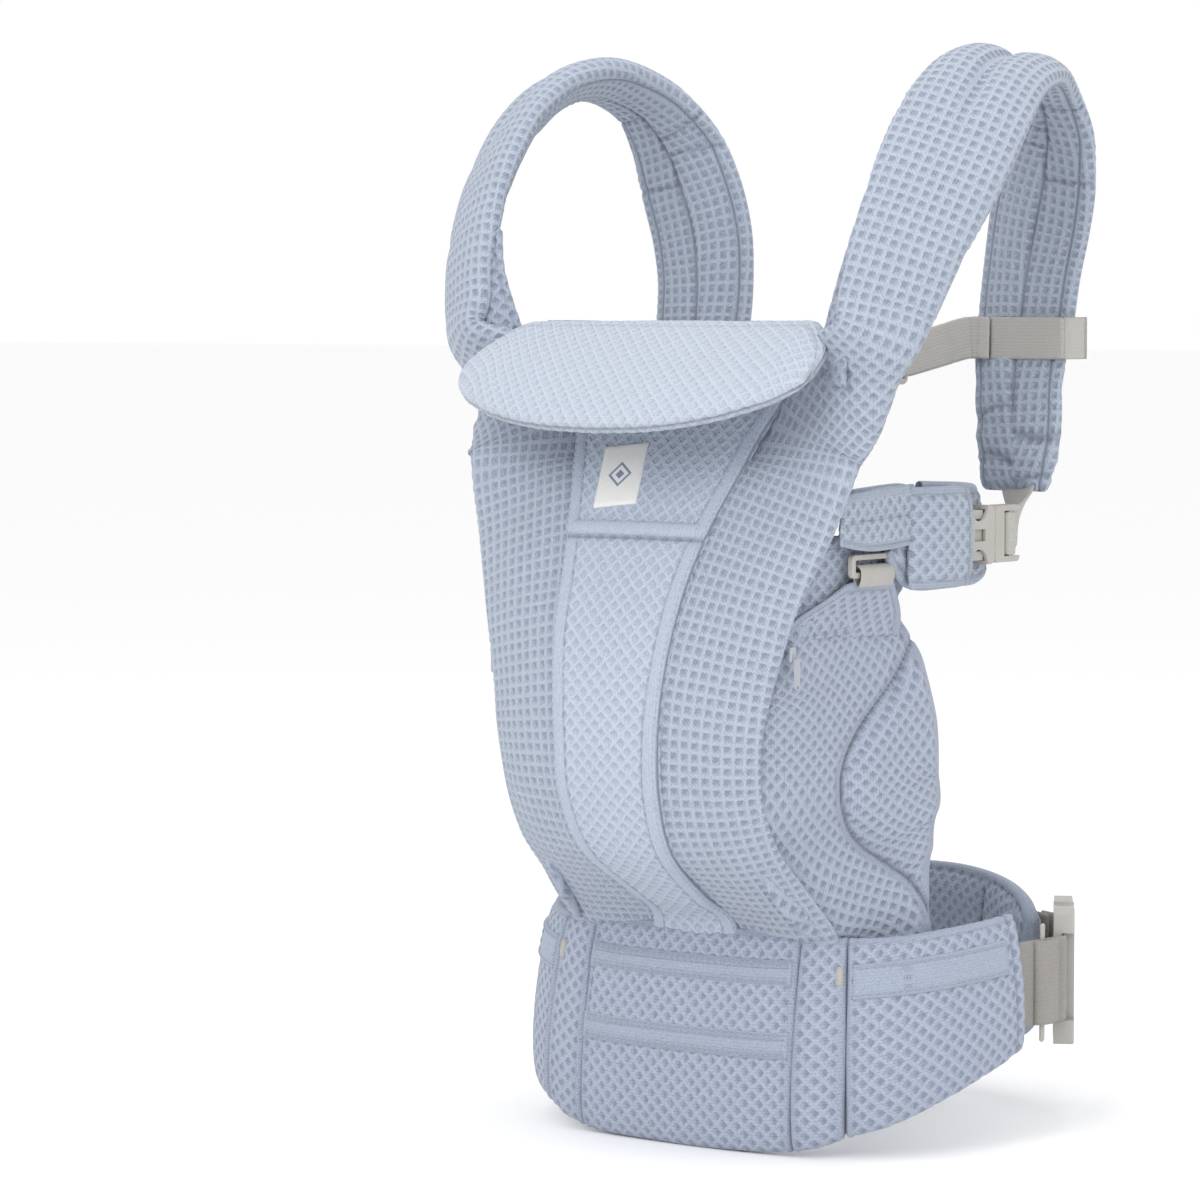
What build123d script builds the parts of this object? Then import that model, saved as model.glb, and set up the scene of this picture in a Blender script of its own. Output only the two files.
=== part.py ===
"""Soft structured baby carrier, standing as worn: +Z up, -Y to the front (away from the wearer),
+X to the wearer's left hand side of the carrier when seen from the front. Millimetres.
Origin: centre of the footprint, on the surface that the hip belt stands on."""

from build123d import *
import math
import os

os.makedirs("parts", exist_ok=True)

# ---- driving dimensions -------------------------------------------------------------------------
SHELL = 7.0              # thickness of the quilted panel fabric
SEAM_GAP = 0.5           # space left between two soft pieces that are sewn edge to edge
BELT_THICK = 20.0        # foam hip belt
BELT_LEAN = 6.0          # degrees, the belt flares outwards towards its lower edge
BELT_TOP = 127.0         # height of the belt's upper edge at the front
FIRST_SEAM_X = 74.0      # belt centre section ends here
SECOND_SEAM_X = 104.0    # belt wings start here
LOOP_HALF_WIDTH = 150.0  # plan ellipse of the outer face of the lumbar pad
LOOP_HALF_DEPTH = 127.0
LOOP_CENTRE_Y = 44.0
WAIST_WEB = 50.0         # waist webbing width
WAIST_WEB_THICK = 2.4
WAIST_WEB_Z = 92.0       # centre height of the waist webbing
LUMBAR_THICK = 17.0
SHOULDER_WEB = 25.0      # shoulder and chest webbing width
WEB_THICK = 1.6
HEADREST_THICK = 15.0
HEADREST_DEPTH = 100.0
HEADREST_SLOPE = 36.0    # degrees below horizontal when folded forward
HEADREST_PIVOT = (0.0, -99.4, 479.0)
CHEST_Z = 461.0          # mean height of the chest strap
RUN = 0.4                # running clearance between moving plastic parts


# ---- helpers ------------------------------------------------------------------------------------
def unit(v):
    return Vector(*v).normalized()


def export(builder, name):
    builder.part.label = name
    export_step(builder.part, f"parts/{name}.step")


def mirrored(source):
    """The same piece on the other side of the carrier."""
    with BuildPart() as other:
        mirror(source.part, about=Plane.YZ)
    return other


def both_sides(source, name):
    export(source, f"{name}_right")
    other = mirrored(source)
    export(other, f"{name}_left")


def strip_planes(stations):
    """One plane per station, x across the strip, z along it. A station is (centre, across, width, thick)."""
    planes = []
    last = len(stations) - 1
    for index, (centre, across, width, thick) in enumerate(stations):
        before = Vector(*stations[max(index - 1, 0)][0])
        after = Vector(*stations[min(index + 1, last)][0])
        along = (after - before).normalized()
        side = Vector(*across)
        side = (side - along * side.dot(along)).normalized()
        planes.append((Plane(origin=centre, x_dir=side, z_dir=along), width, thick))
    return planes


def padded_strip(stations, roundness=0.42, ruled=False):
    """A soft strip lofted through rounded sections."""
    with BuildPart() as strip:
        for plane, width, thick in strip_planes(stations):
            with BuildSketch(plane):
                RectangleRounded(width, thick, min(width, thick) * roundness)
        loft(ruled=ruled)
    return strip


def webbing_strip(stations, ruled=True):
    """Flat webbing lofted through square sections."""
    with BuildPart() as strip:
        for plane, width, thick in strip_planes(stations):
            with BuildSketch(plane):
                Rectangle(width, thick)
        loft(ruled=ruled)
    return strip


# ---- hip belt -----------------------------------------------------------------------------------
def belt_section(x, y, facing, bottom, top, thick=BELT_THICK):
    """Station of the belt: (x, y) is on the outer face at mid height, facing is its heading in degrees."""
    out = Vector(math.cos(math.radians(facing)), math.sin(math.radians(facing)), 0)
    lean = math.radians(BELT_LEAN)
    up = Vector(0, 0, math.cos(lean)) - out * math.sin(lean)
    centre = Vector(x, y, (bottom + top) / 2) - out * (thick / 2)
    along = Vector(-out.Y, out.X, 0)
    return Plane(origin=centre, x_dir=up, z_dir=along), (top - bottom) / math.cos(lean), thick


def belt_piece(sections):
    with BuildPart() as piece:
        for plane, height, thick in sections:
            with BuildSketch(plane):
                RectangleRounded(height, thick, thick * 0.4)
        loft()
    return piece


belt_center = belt_piece([
    belt_section(-FIRST_SEAM_X + 0.3, -83.0, -97, 2.5, BELT_TOP),
    belt_section(-40, -86.5, -93, 0, BELT_TOP),
    belt_section(0, -87.5, -90, 0, BELT_TOP),
    belt_section(40, -86.5, -87, 0, BELT_TOP),
    belt_section(FIRST_SEAM_X - 0.3, -83.0, -83, 2.5, BELT_TOP),
])
export(belt_center, "belt_center")

belt_side = belt_piece([
    belt_section(FIRST_SEAM_X + 0.5, -82.6, -82, 3.0, BELT_TOP),
    belt_section(90, -79.5, -76, 6.5, BELT_TOP - 1),
    belt_section(SECOND_SEAM_X - 0.5, -74.5, -66, 12.0, BELT_TOP - 2),
])
both_sides(belt_side, "belt_side")

belt_wing = belt_piece([
    belt_section(SECOND_SEAM_X + 0.5, -74.0, -64, 12.5, BELT_TOP - 2, 18),
    belt_section(126, -58, -48, 20, BELT_TOP - 1, 18),
    belt_section(144, -33, -27, 32, BELT_TOP + 1, 17),
    belt_section(155, -3, -14, 45, BELT_TOP + 4, 15),
    belt_section(160, 27, -5, 56, BELT_TOP + 7, 13),
])
both_sides(belt_wing, "belt_wing")

# Fabric patch sewn on the front of the belt, laid on the curved face
with BuildPart() as belt_patch:
    with BuildSketch(Plane.XZ.offset(70)):
        with Locations((0, 82)):
            Rectangle(138, 50)
    extrude(amount=30)
    patch_back = belt_piece([
        belt_section(x, y - 1.2, heading, 2, BELT_TOP)
        for x, y, heading in ((-72, -83.2, -97), (-40, -86.5, -93), (0, -87.5, -90), (40, -86.5, -87), (72, -83.2, -83))
    ])
    add(patch_back.part, mode=Mode.INTERSECT)
    add(belt_center.part, mode=Mode.SUBTRACT)
export(belt_patch, "belt_patch")

# ---- front panel --------------------------------------------------------------------------------
# Height, depth of the front face and half width of the centre panel, from the belt to the headrest
PANEL_PROFILE = [
    (132, -70, 31), (146, -104, 29), (174, -144, 34), (207, -161, 37), (240, -164, 38),
    (271, -162, 40), (302, -156, 43), (332, -145, 46), (361, -132, 52), (389, -117, 60),
    (412, -105, 67), (434, -98, 73), (455, -96, 77),
]
# Height and (x, y) of the outer edge of the side bands, level for level with the panel above
BAND_EDGE = [
    (133, 98, -76), (152, 93, -99), (177, 91, -123), (205, 91, -138), (240, 94, -144),
    (269, 98, -142), (303, 105, -137), (331, 113, -131), (361, 123, -123), (389, 132, -118),
    (412, 139, -114), (430, 146, -110),
]
BAND_THICK = [7, 7, 7, 7, 7.5, 8, 9, 10, 12, 14, 15.5, 16]


def panel_stations():
    stations = []
    for height, depth, half_width in PANEL_PROFILE:
        stations.append(((0, depth + SHELL / 2, height), (1, 0, 0), 2 * half_width - SEAM_GAP, SHELL))
    return stations


center_panel = padded_strip(panel_stations(), roundness=0.2)
export(center_panel, "center_panel")


def band_stations():
    stations = []
    for (height, depth, seam_x), (edge_height, edge_x, edge_y), thick in zip(PANEL_PROFILE, BAND_EDGE, BAND_THICK):
        seam = Vector(seam_x + 2.0, depth + 2.5, height)
        edge = Vector(edge_x, edge_y, edge_height)
        across = edge - seam
        back = across.cross(Vector(0, 0, 1)).normalized() * -1
        centre = (seam + edge) / 2 + back * (thick / 2)
        stations.append((tuple(centre), tuple(across), across.length - 0.8, thick))
    return stations


band = padded_strip(band_stations(), roundness=0.3)
both_sides(band, "panel_band")

# ---- shoulder straps ----------------------------------------------------------------------------
# Inner edge, outer edge and thickness along the strap: front leg, crown, back leg
STRAP_EDGES = [
    ((122, -127, 440), (153, -103, 436), 16),
    ((124, -121, 464), (163, -94, 458), 17),
    ((125, -114, 489), (171, -84, 481), 18),
    ((126.5, -106, 516), (178, -73, 507), 18),
    ((128, -95, 543), (184, -59, 531), 18),
    ((129, -79, 570), (188, -40, 557), 18),
    ((129, -55, 597), (188, -16, 585), 18),
    ((127, -20, 618), (183, 12, 606), 18),
    ((123, 22, 625), (175, 45, 612), 17),
    ((115, 65, 613), (167, 71, 601), 16),
    ((105, 92, 588), (166, 86, 581), 15),
    ((94, 100, 558), (163, 93, 556), 14),
    ((86, 102, 528), (157, 97, 528), 14),
    ((83, 100, 500), (152, 96, 500), 14),
    ((83, 96, 472), (150, 92, 472), 14),
    ((86, 89, 440), (147, 86, 440), 14),
    ((92, 85, 405), (145, 83, 410), 13),
    ((104, 82, 378), (136, 80, 384), 12),
]


def strap_stations():
    stations = []
    for inner, outer, thick in STRAP_EDGES:
        inner = Vector(*inner)
        outer = Vector(*outer)
        across = outer - inner
        stations.append((tuple((inner + outer) / 2), tuple(across), across.length, thick))
    return stations


strap = padded_strip(strap_stations())
both_sides(strap, "shoulder_strap")

# Lining gusset between the headrest hinge and the inner edge of each strap
with BuildPart() as gusset:
    with BuildSketch(Plane.XZ.offset(92.5)):
        with BuildLine():
            Polyline((104, 446), (119, 446), (121, 500), (122, 530), (115, 512), (108, 490), (104, 466), close=True)
        make_face()
    extrude(amount=3.5)
    add(strap.part, mode=Mode.SUBTRACT)
    add(band.part, mode=Mode.SUBTRACT)
both_sides(gusset, "strap_gusset")

# ---- seat wings and thigh pads ------------------------------------------------------------------
# Height, front edge (x, y) and rear edge (x, y) of the mesh wing that wraps the hips
WING_LEVELS = [
    (131, (96, -62), (124, -14)), (153, (90, -92), (123, -8)), (177, (87.5, -116), (122, -6)),
    (205, (87.5, -130), (121, -4)), (240, (90, -134), (119, -4)), (269, (93, -131), (116, -12)),
    (292, (97, -127), (113, -26)), (312, (101, -122), (111, -40)), (322, (104, -116), (110, -50)),
]


def wing_stations(front_share, rear_share, thick, bulge, outwards=0.0):
    """Upright stations of part of the wing, from front_share to rear_share of its depth."""
    planes = []
    for height, front, rear in WING_LEVELS:
        front = Vector(*front, height)
        rear = Vector(*rear, height)
        span = rear - front
        a = front + span * front_share
        b = front + span * rear_share
        out = Vector(span.Y, -span.X, 0).normalized()
        middle = (a + b) / 2 + out * (bulge + outwards)
        planes.append(((a + out * outwards, middle, b + out * outwards), thick, out))
    return planes


def wing_piece(levels):
    with BuildPart() as piece:
        for (a, middle, b), thick, out in levels:
            with BuildSketch(Plane.XY.offset(a.Z)):
                with BuildLine():
                    outer = ThreePointArc((a.X, a.Y), (middle.X, middle.Y), (b.X, b.Y))
                    inset = out * thick
                    inner = ThreePointArc(
                        (b.X - inset.X, b.Y - inset.Y),
                        (middle.X - inset.X, middle.Y - inset.Y),
                        (a.X - inset.X, a.Y - inset.Y),
                    )
                    Line(outer @ 1, inner @ 0)
                    Line(inner @ 1, outer @ 0)
                make_face()
        loft()
    return piece


seat_wing = wing_piece(wing_stations(0.06, 0.42, 5.0, 2.0))
both_sides(seat_wing, "seat_wing")
thigh_pad = wing_piece(wing_stations(0.43, 1.0, 9.0, 7.0, 1.5))
both_sides(thigh_pad, "thigh_pad")

# ---- trim on the panel --------------------------------------------------------------------------
# Welt of the pocket across the centre panel and the woven label above it, both laid on the panel
def laid_on_panel(name, thick, outline, turn=0.0, at=(0, 0)):
    proud = []
    for height, depth, half_width in PANEL_PROFILE[6:11]:
        proud.append(((0, depth + SHELL / 2 - thick, height), (1, 0, 0), 2 * half_width - 2, SHELL))
    skin = padded_strip(proud, roundness=0.2)
    with BuildPart() as piece:
        with BuildSketch(Plane.XZ.offset(90)):
            with Locations(Location((at[0], at[1], 0), (0, 0, turn))):
                RectangleRounded(outline[0], outline[1], 1.0)
        extrude(amount=90)
        add(skin.part, mode=Mode.INTERSECT)
        add(center_panel.part, mode=Mode.SUBTRACT)
    export(piece, name)


laid_on_panel("pocket_welt", 1.0, (86, 9), 0, (0, 357))
laid_on_panel("label", 0.7, (30, 36), -10, (-26, 385))

# ---- headrest -----------------------------------------------------------------------------------
slope = math.radians(HEADREST_SLOPE)
reach = Vector(0, -math.cos(slope), -math.sin(slope))
pad_up = Vector(0, -math.sin(slope), math.cos(slope))
pad_plane = Plane(origin=HEADREST_PIVOT, x_dir=(1, 0, 0), z_dir=tuple(pad_up))
# In the pad's plane +Y runs back towards the hinge, so the pad lies on the negative side
PAD_OUTLINE = [
    (100, -2), (111, -13), (119.5, -32), (121, -50), (113, -66), (92, -81), (58, -94), (0, -HEADREST_DEPTH),
]


def headrest_layer(low, high, inset):
    with BuildPart() as layer:
        with BuildSketch(pad_plane.offset(low)):
            with BuildLine():
                points = [(x - inset * x / 121, y) for x, y in PAD_OUTLINE]
                right = Spline(*points)
                left = Spline(*[(-x, y) for x, y in reversed(points)])
                Line(left @ 1, right @ 0)
            make_face()
        extrude(amount=high - low)
        rim = layer.edges().group_by(Axis(HEADREST_PIVOT, tuple(pad_up)))[-1 if inset == 0 else 0]
        chamfer(rim, 2.0)
    return layer


headrest_pad = headrest_layer(-HEADREST_THICK / 2, 0, 0)
export(headrest_pad, "headrest_pad")
headrest_lining = headrest_layer(-HEADREST_THICK, -HEADREST_THICK / 2 - 0.2, 0.5)
export(headrest_lining, "headrest_lining")

# ---- side bands that carry the shoulder buckles -------------------------------------------------
with BuildPart() as side_band:
    with BuildSketch(Plane.YZ.offset(119)):
        with BuildLine():
            Polyline(
                (-104, 352), (-97, 347), (-48, 346), (-40, 325), (-30, 321), (30, 322), (38, 330),
                (38, 374), (30, 381), (-20, 384), (-104, 380), close=True,
            )
        make_face()
        fillet(vertices().group_by(Axis.X)[-1], 3)
    extrude(amount=7)
    add(band.part, mode=Mode.SUBTRACT)
both_sides(side_band, "side_band")

BUCKLE_X = 134.5         # centre plane of the shoulder buckle
BUCKLE_MOUTH_Y = 26.0
BUCKLE_Z = 352.0

with BuildPart() as sleeve:
    for y, thick in ((-48, 3.0), (-24, 12.5), (0, 15.0)):
        with BuildSketch(Plane.XZ.offset(-y)):
            with Locations((126.4 + thick / 2, 352)):
                RectangleRounded(thick, 58, 1.2)
    loft(ruled=True)
    with Locations((BUCKLE_X, BUCKLE_MOUTH_Y - 25, BUCKLE_Z)):
        Box(11.6, 48, 36, mode=Mode.SUBTRACT)
both_sides(sleeve, "buckle_sleeve")


# ---- side-release buckles -----------------------------------------------------------------------
# Local frame of a buckle: origin in the mouth of the socket, X the way the plug pulls out,
# Y across the webbing, Z through the thickness, away from the body.
def buckle_socket(plane, web, width, length, thick, bow=0.0):
    """Female half: flat hollow shell, side windows for the prongs, a bar for the sewn webbing."""
    with BuildPart(plane) as socket:
        with Locations((-length / 2 - 4, 0, 0)):
            Box(length + 8, width, thick)
        fillet(socket.edges().filter_by(Axis(plane.origin, plane.z_dir)), 4)
        fillet(socket.faces().sort_by(Axis(plane.origin, plane.z_dir))[-1].edges(), 1.2)
        with Locations((-length / 2 + 3, 0, 0)):
            Box(length - 2, width - 4.4, thick - 3.6, mode=Mode.SUBTRACT)
        with Locations((-length * 0.52, width / 2, 0), (-length * 0.52, -width / 2, 0)):
            Cylinder(length * 0.27, thick + 2, mode=Mode.SUBTRACT)
        with Locations((-length - 2, 0, 0)):
            Box(4.4, web + 1.2, thick + 2, mode=Mode.SUBTRACT)
        with Locations((-length * 0.5, 0, thick / 2)):
            Box(length * 0.34, width * 0.2, 4.4, mode=Mode.SUBTRACT)
        with Locations((-length - 6.2, 0, thick / 2)):
            Box(4.2, web + 1.2, thick + 3.2, mode=Mode.SUBTRACT)
    return socket


def buckle_plug(plane, web, width, length, male_length, thick):
    """Male half: stop flange, guide tongue and a two-slot ladder lock for the webbing."""
    tongue = length - 9
    with BuildPart(plane) as plug:
        with Locations((RUN + male_length / 2, 0, 0)):
            Box(male_length, width - 1, thick - 1)
        fillet(plug.edges().filter_by(Axis(plane.origin, plane.z_dir)), 3)
        fillet(plug.faces().sort_by(Axis(plane.origin, plane.z_dir))[-1].edges(), 1.0)
        for share in (0.46, 0.80):
            with Locations((RUN + male_length * share, 0, 0)):
                Box(male_length * 0.19, web + 1.2, thick + 2, mode=Mode.SUBTRACT)
        with Locations((RUN + male_length * 0.95, 0, thick / 2)):
            Box(male_length * 0.16, web + 1.2, thick + 3.2, mode=Mode.SUBTRACT)
        with Locations((RUN - tongue / 2, 0, 0)):
            Box(tongue + 0.4, width * 0.3, thick - 4.6)
    return plug


def buckle_prong(plane, width, length, thick, side):
    """One sprung arm with its rounded squeeze pad, standing in the socket's side window."""
    arm = length - 7
    edge = width / 2 - 2.6
    with BuildPart(plane) as prong:
        with Locations((-arm / 2, side * (edge - 3.2), 0)):
            Box(arm, 2.6, thick - 4.6)
        with Locations((-length * 0.52, side * (edge - 2.6), 0)):
            Box(length * 0.42, 5.2, thick - 4.6)
        with Locations((-arm + 2.5, side * (edge - 3.0), 0)):
            Box(5, 4.4, thick - 4.6)
    return prong


def buckle(plane, web, width, length, male_length, thick):
    return {
        "socket": buckle_socket(plane, web, width, length, thick),
        "plug": buckle_plug(plane, web, width, length, male_length, thick),
        "prong_a": buckle_prong(plane, width, length, thick, 1),
        "prong_b": buckle_prong(plane, width, length, thick, -1),
    }


shoulder_plane = Plane(origin=(BUCKLE_X, BUCKLE_MOUTH_Y, BUCKLE_Z), x_dir=(0, 1, 0), z_dir=(1, 0, 0))
for part_name, piece in buckle(shoulder_plane, SHOULDER_WEB, 34, 33, 27, 10).items():
    both_sides(piece, f"shoulder_{part_name}")

# Webbing from the ladder lock up to the lower end of the shoulder strap, with a quarter twist
shoulder_web = webbing_strip([
    ((BUCKLE_X, 48.0, BUCKLE_Z), (0, 0, 1), SHOULDER_WEB, WEB_THICK),
    ((BUCKLE_X, 54.0, BUCKLE_Z), (0, 0, 1), SHOULDER_WEB, WEB_THICK),
    ((133, 62, 355), (0.25, 0, 1), SHOULDER_WEB, WEB_THICK),
    ((129, 69, 359), (0.7, 0.1, 0.8), SHOULDER_WEB - 1, WEB_THICK),
    ((124, 75, 364), (1, 0.1, 0.4), SHOULDER_WEB - 2, WEB_THICK),
], ruled=False)
both_sides(shoulder_web, "shoulder_webbing")

# ---- seat-width hooks ---------------------------------------------------------------------------
HOOK_X = 121.5
HOOK_Y = -73.0
HOOK_Z = 333.0           # centre of the lower bar, which the hook swings on

with BuildPart() as hook:
    with BuildSketch(Plane.YZ.offset(HOOK_X - 1.5)):
        with Locations((HOOK_Y, HOOK_Z + 5)):
            RectangleRounded(46, 13.2, 3)
            RectangleRounded(39, 6.8, 1.2, mode=Mode.SUBTRACT)
    extrude(amount=3)
    chamfer(hook.faces().sort_by(Axis.X)[-1].edges(), 0.4)
both_sides(hook, "seat_hook")

with BuildPart() as hook_tab:
    with BuildSketch(Plane.XZ.offset(-HOOK_Y - 17)):
        with Locations((HOOK_X, HOOK_Z)):
            Circle(3.9)
        with Locations((HOOK_X - 1.5, HOOK_Z - 8)):
            Rectangle(3.2, 14)
        with Locations((HOOK_X, HOOK_Z)):
            Circle(2.8, mode=Mode.SUBTRACT)
    extrude(amount=34)
    add(thigh_pad.part, mode=Mode.SUBTRACT)
    add(seat_wing.part, mode=Mode.SUBTRACT)
both_sides(hook_tab, "seat_hook_tab")

# ---- zip pulls beside the panel -----------------------------------------------------------------
ZIP_X = 103.4
ZIP_Y = -126.5
ZIP_TOP = 287.0

with BuildPart() as zip_slider:
    with Locations((ZIP_X, ZIP_Y, ZIP_TOP + 3.2)):
        Box(2.4, 5, 8)
    fillet(zip_slider.edges().filter_by(Axis.Z), 0.8)
    with Locations((ZIP_X + 1.4, ZIP_Y, ZIP_TOP + 1.2)):
        Box(1.2, 1.4, 4)
both_sides(zip_slider, "zip_slider")

with BuildPart() as zip_pull:
    with BuildSketch(Plane.YZ.offset(ZIP_X + 2.8)):
        with Locations((ZIP_Y, ZIP_TOP - 7.6)):
            SlotOverall(18, 4.2, rotation=90)
        with Locations((ZIP_Y, ZIP_TOP - 15)):
            Circle(1.0, mode=Mode.SUBTRACT)
    extrude(amount=1.2)
both_sides(zip_pull, "zip_pull")

# ---- lumbar pad and waist webbing ---------------------------------------------------------------
def pad_station(turn, height, middle):
    """Upright station on the loop ellipse, turn in degrees from +X towards the back."""
    a = math.radians(turn)
    x = LOOP_HALF_WIDTH * math.cos(a)
    y = LOOP_CENTRE_Y + LOOP_HALF_DEPTH * math.sin(a)
    out = Vector(math.cos(a) / LOOP_HALF_WIDTH, math.sin(a) / LOOP_HALF_DEPTH, 0).normalized()
    centre = Vector(x, y, middle) - out * (LUMBAR_THICK / 2)
    return Plane(origin=centre, x_dir=(0, 0, 1), z_dir=(-out.Y, out.X, 0)), height, LUMBAR_THICK


lumbar_pad = belt_piece([
    pad_station(41, 62, 86), pad_station(50, 86, 87), pad_station(62, 99, 88), pad_station(76, 105, 89),
    pad_station(90, 106, 89), pad_station(104, 105, 89), pad_station(118, 99, 88), pad_station(130, 86, 87),
    pad_station(139, 62, 86),
])
export(lumbar_pad, "lumbar_pad")


def webbing_route(points, width, thick, height):
    """Upright webbing whose centre line is a smooth plan curve."""
    with BuildPart() as web:
        with BuildSketch(Plane.XY.offset(height - width / 2)):
            with BuildLine():
                Spline(*points)
            trace(line_width=thick)
        extrude(amount=width)
    return web


WAIST_ROUTE = [(-153.5, 29), (-150, 60), (-137, 99), (-109, 136), (-62, 163), (0, 173.5), (48, 170), (80, 161), (100, 150.5)]
waist_webbing = webbing_route(WAIST_ROUTE, WAIST_WEB, WAIST_WEB_THICK, WAIST_WEB_Z)
export(waist_webbing, "waist_webbing_rear")

WAIST_DIR = unit((-0.53, 0.848, 0))
WAIST_OUT = Vector(WAIST_DIR.Y, -WAIST_DIR.X, 0)
waist_plane = Plane(origin=(134, 112, WAIST_WEB_Z), x_dir=tuple(WAIST_DIR), z_dir=tuple(WAIST_OUT))
for part_name, piece in buckle(waist_plane, WAIST_WEB, 80, 34, 27, 12).items():
    export(piece, f"waist_{part_name}")

socket_end = waist_plane.from_local_coords(Vector(-36.5, 0, 0))
socket_run = waist_plane.from_local_coords(Vector(-46.0, 0, 0))
with BuildPart() as waist_web_side:
    with BuildSketch(Plane.XY.offset(WAIST_WEB_Z - WAIST_WEB / 2)):
        with BuildLine():
            Spline((153.5, 29), (socket_run.X, socket_run.Y), tangents=((0.1, 1), (WAIST_DIR.X, WAIST_DIR.Y)))
            Line((socket_run.X, socket_run.Y), (socket_end.X, socket_end.Y))
        trace(line_width=WAIST_WEB_THICK)
    extrude(amount=WAIST_WEB)
export(waist_web_side, "waist_webbing_side")

plug_end = waist_plane.from_local_coords(Vector(22.0, 0, 0))
waist_web_loop = webbing_route(
    [(plug_end.X, plug_end.Y), (115.5, 144.2), (104, 155.2), (86, 164.8)],
    WAIST_WEB, WAIST_WEB_THICK, WAIST_WEB_Z)
export(waist_web_loop, "waist_webbing_loop")

# Elastic loops that hold the lumbar pad to the webbing
for loop_name, turn in (("right", 66), ("left", 114)):
    angle = math.radians(turn)
    out = Vector(math.cos(angle) / LOOP_HALF_WIDTH, math.sin(angle) / LOOP_HALF_DEPTH, 0).normalized()
    spot = Vector(LOOP_HALF_WIDTH * math.cos(angle), LOOP_CENTRE_Y + LOOP_HALF_DEPTH * math.sin(angle), WAIST_WEB_Z)
    with BuildPart() as keeper:
        with BuildSketch(Plane(origin=spot, x_dir=tuple(out), z_dir=(-out.Y, out.X, 0)).offset(-13)):
            with Locations((5.2, 0)):
                Rectangle(13, 62)
                Rectangle(10.2, 54, mode=Mode.SUBTRACT)
        extrude(amount=26)
        add(lumbar_pad.part, mode=Mode.SUBTRACT)
    export(keeper, f"lumbar_loop_{loop_name}")

# ---- chest strap --------------------------------------------------------------------------------
CHEST_Y = 79.0
CHEST_DROP = 11.0        # the middle of the strap hangs this much below its ends
RING_CENTRE = (117.0, 93.5)
RING_INSIDE = (80.0, 25.5)


def chest_web(inner_x):
    """Webbing ring round the back leg of a strap, with its run towards the middle."""
    with BuildPart() as web:
        with BuildSketch(Plane.XY.offset(CHEST_Z + 3 - SHOULDER_WEB / 2)):
            with Locations(RING_CENTRE):
                RectangleRounded(RING_INSIDE[0] + 2 * WEB_THICK, RING_INSIDE[1] + 2 * WEB_THICK, 6)
                RectangleRounded(*RING_INSIDE, 5, mode=Mode.SUBTRACT)
        extrude(amount=SHOULDER_WEB)
        with BuildSketch(Plane.XZ.offset(-CHEST_Y - WEB_THICK / 2)):
            with BuildLine():
                half = SHOULDER_WEB / 2
                end_z = CHEST_Z + 3
                low_z = CHEST_Z + 3 - CHEST_DROP
                Polyline(
                    (inner_x, low_z - half), (inner_x + 8, low_z - half), (86, end_z - half), (100, end_z - half),
                    (100, end_z + half), (86, end_z + half), (inner_x + 8, low_z + half), (inner_x, low_z + half), close=True,
                )
            make_face()
        extrude(amount=WEB_THICK)
    return web


chest_plane = Plane(origin=(3, CHEST_Y, CHEST_Z + 3 - CHEST_DROP), x_dir=(-1, 0, 0), z_dir=(0, -1, 0))
for part_name, piece in buckle(chest_plane, SHOULDER_WEB, 34, 30, 25, 9).items():
    export(piece, f"chest_{part_name}")
chest_right = chest_web(34.5)
export(chest_right, "chest_webbing_right")
chest_left = mirrored(chest_web(17.5))
export(chest_left, "chest_webbing_left")
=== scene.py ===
"""Looks of the soft baby carrier: knitted mesh fabric over foam, webbing and moulded buckles."""
import math
import bpy
import numpy as np
from mathutils import Matrix, Vector


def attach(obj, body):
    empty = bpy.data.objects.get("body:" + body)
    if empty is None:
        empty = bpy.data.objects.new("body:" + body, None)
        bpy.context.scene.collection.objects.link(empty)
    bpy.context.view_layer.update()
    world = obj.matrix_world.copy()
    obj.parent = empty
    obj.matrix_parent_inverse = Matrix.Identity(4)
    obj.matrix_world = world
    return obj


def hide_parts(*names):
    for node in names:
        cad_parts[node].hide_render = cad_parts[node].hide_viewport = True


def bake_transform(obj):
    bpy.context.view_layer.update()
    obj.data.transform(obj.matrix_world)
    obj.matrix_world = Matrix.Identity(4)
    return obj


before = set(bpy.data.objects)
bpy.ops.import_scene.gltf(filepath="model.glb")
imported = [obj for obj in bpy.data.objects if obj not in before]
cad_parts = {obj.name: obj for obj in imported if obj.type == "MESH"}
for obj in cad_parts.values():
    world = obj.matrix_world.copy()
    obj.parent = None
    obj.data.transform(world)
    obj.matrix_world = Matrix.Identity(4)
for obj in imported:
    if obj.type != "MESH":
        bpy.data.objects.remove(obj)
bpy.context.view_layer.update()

MM = 0.001
UP = np.array([0.0, 0.0, 1.0])

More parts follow.
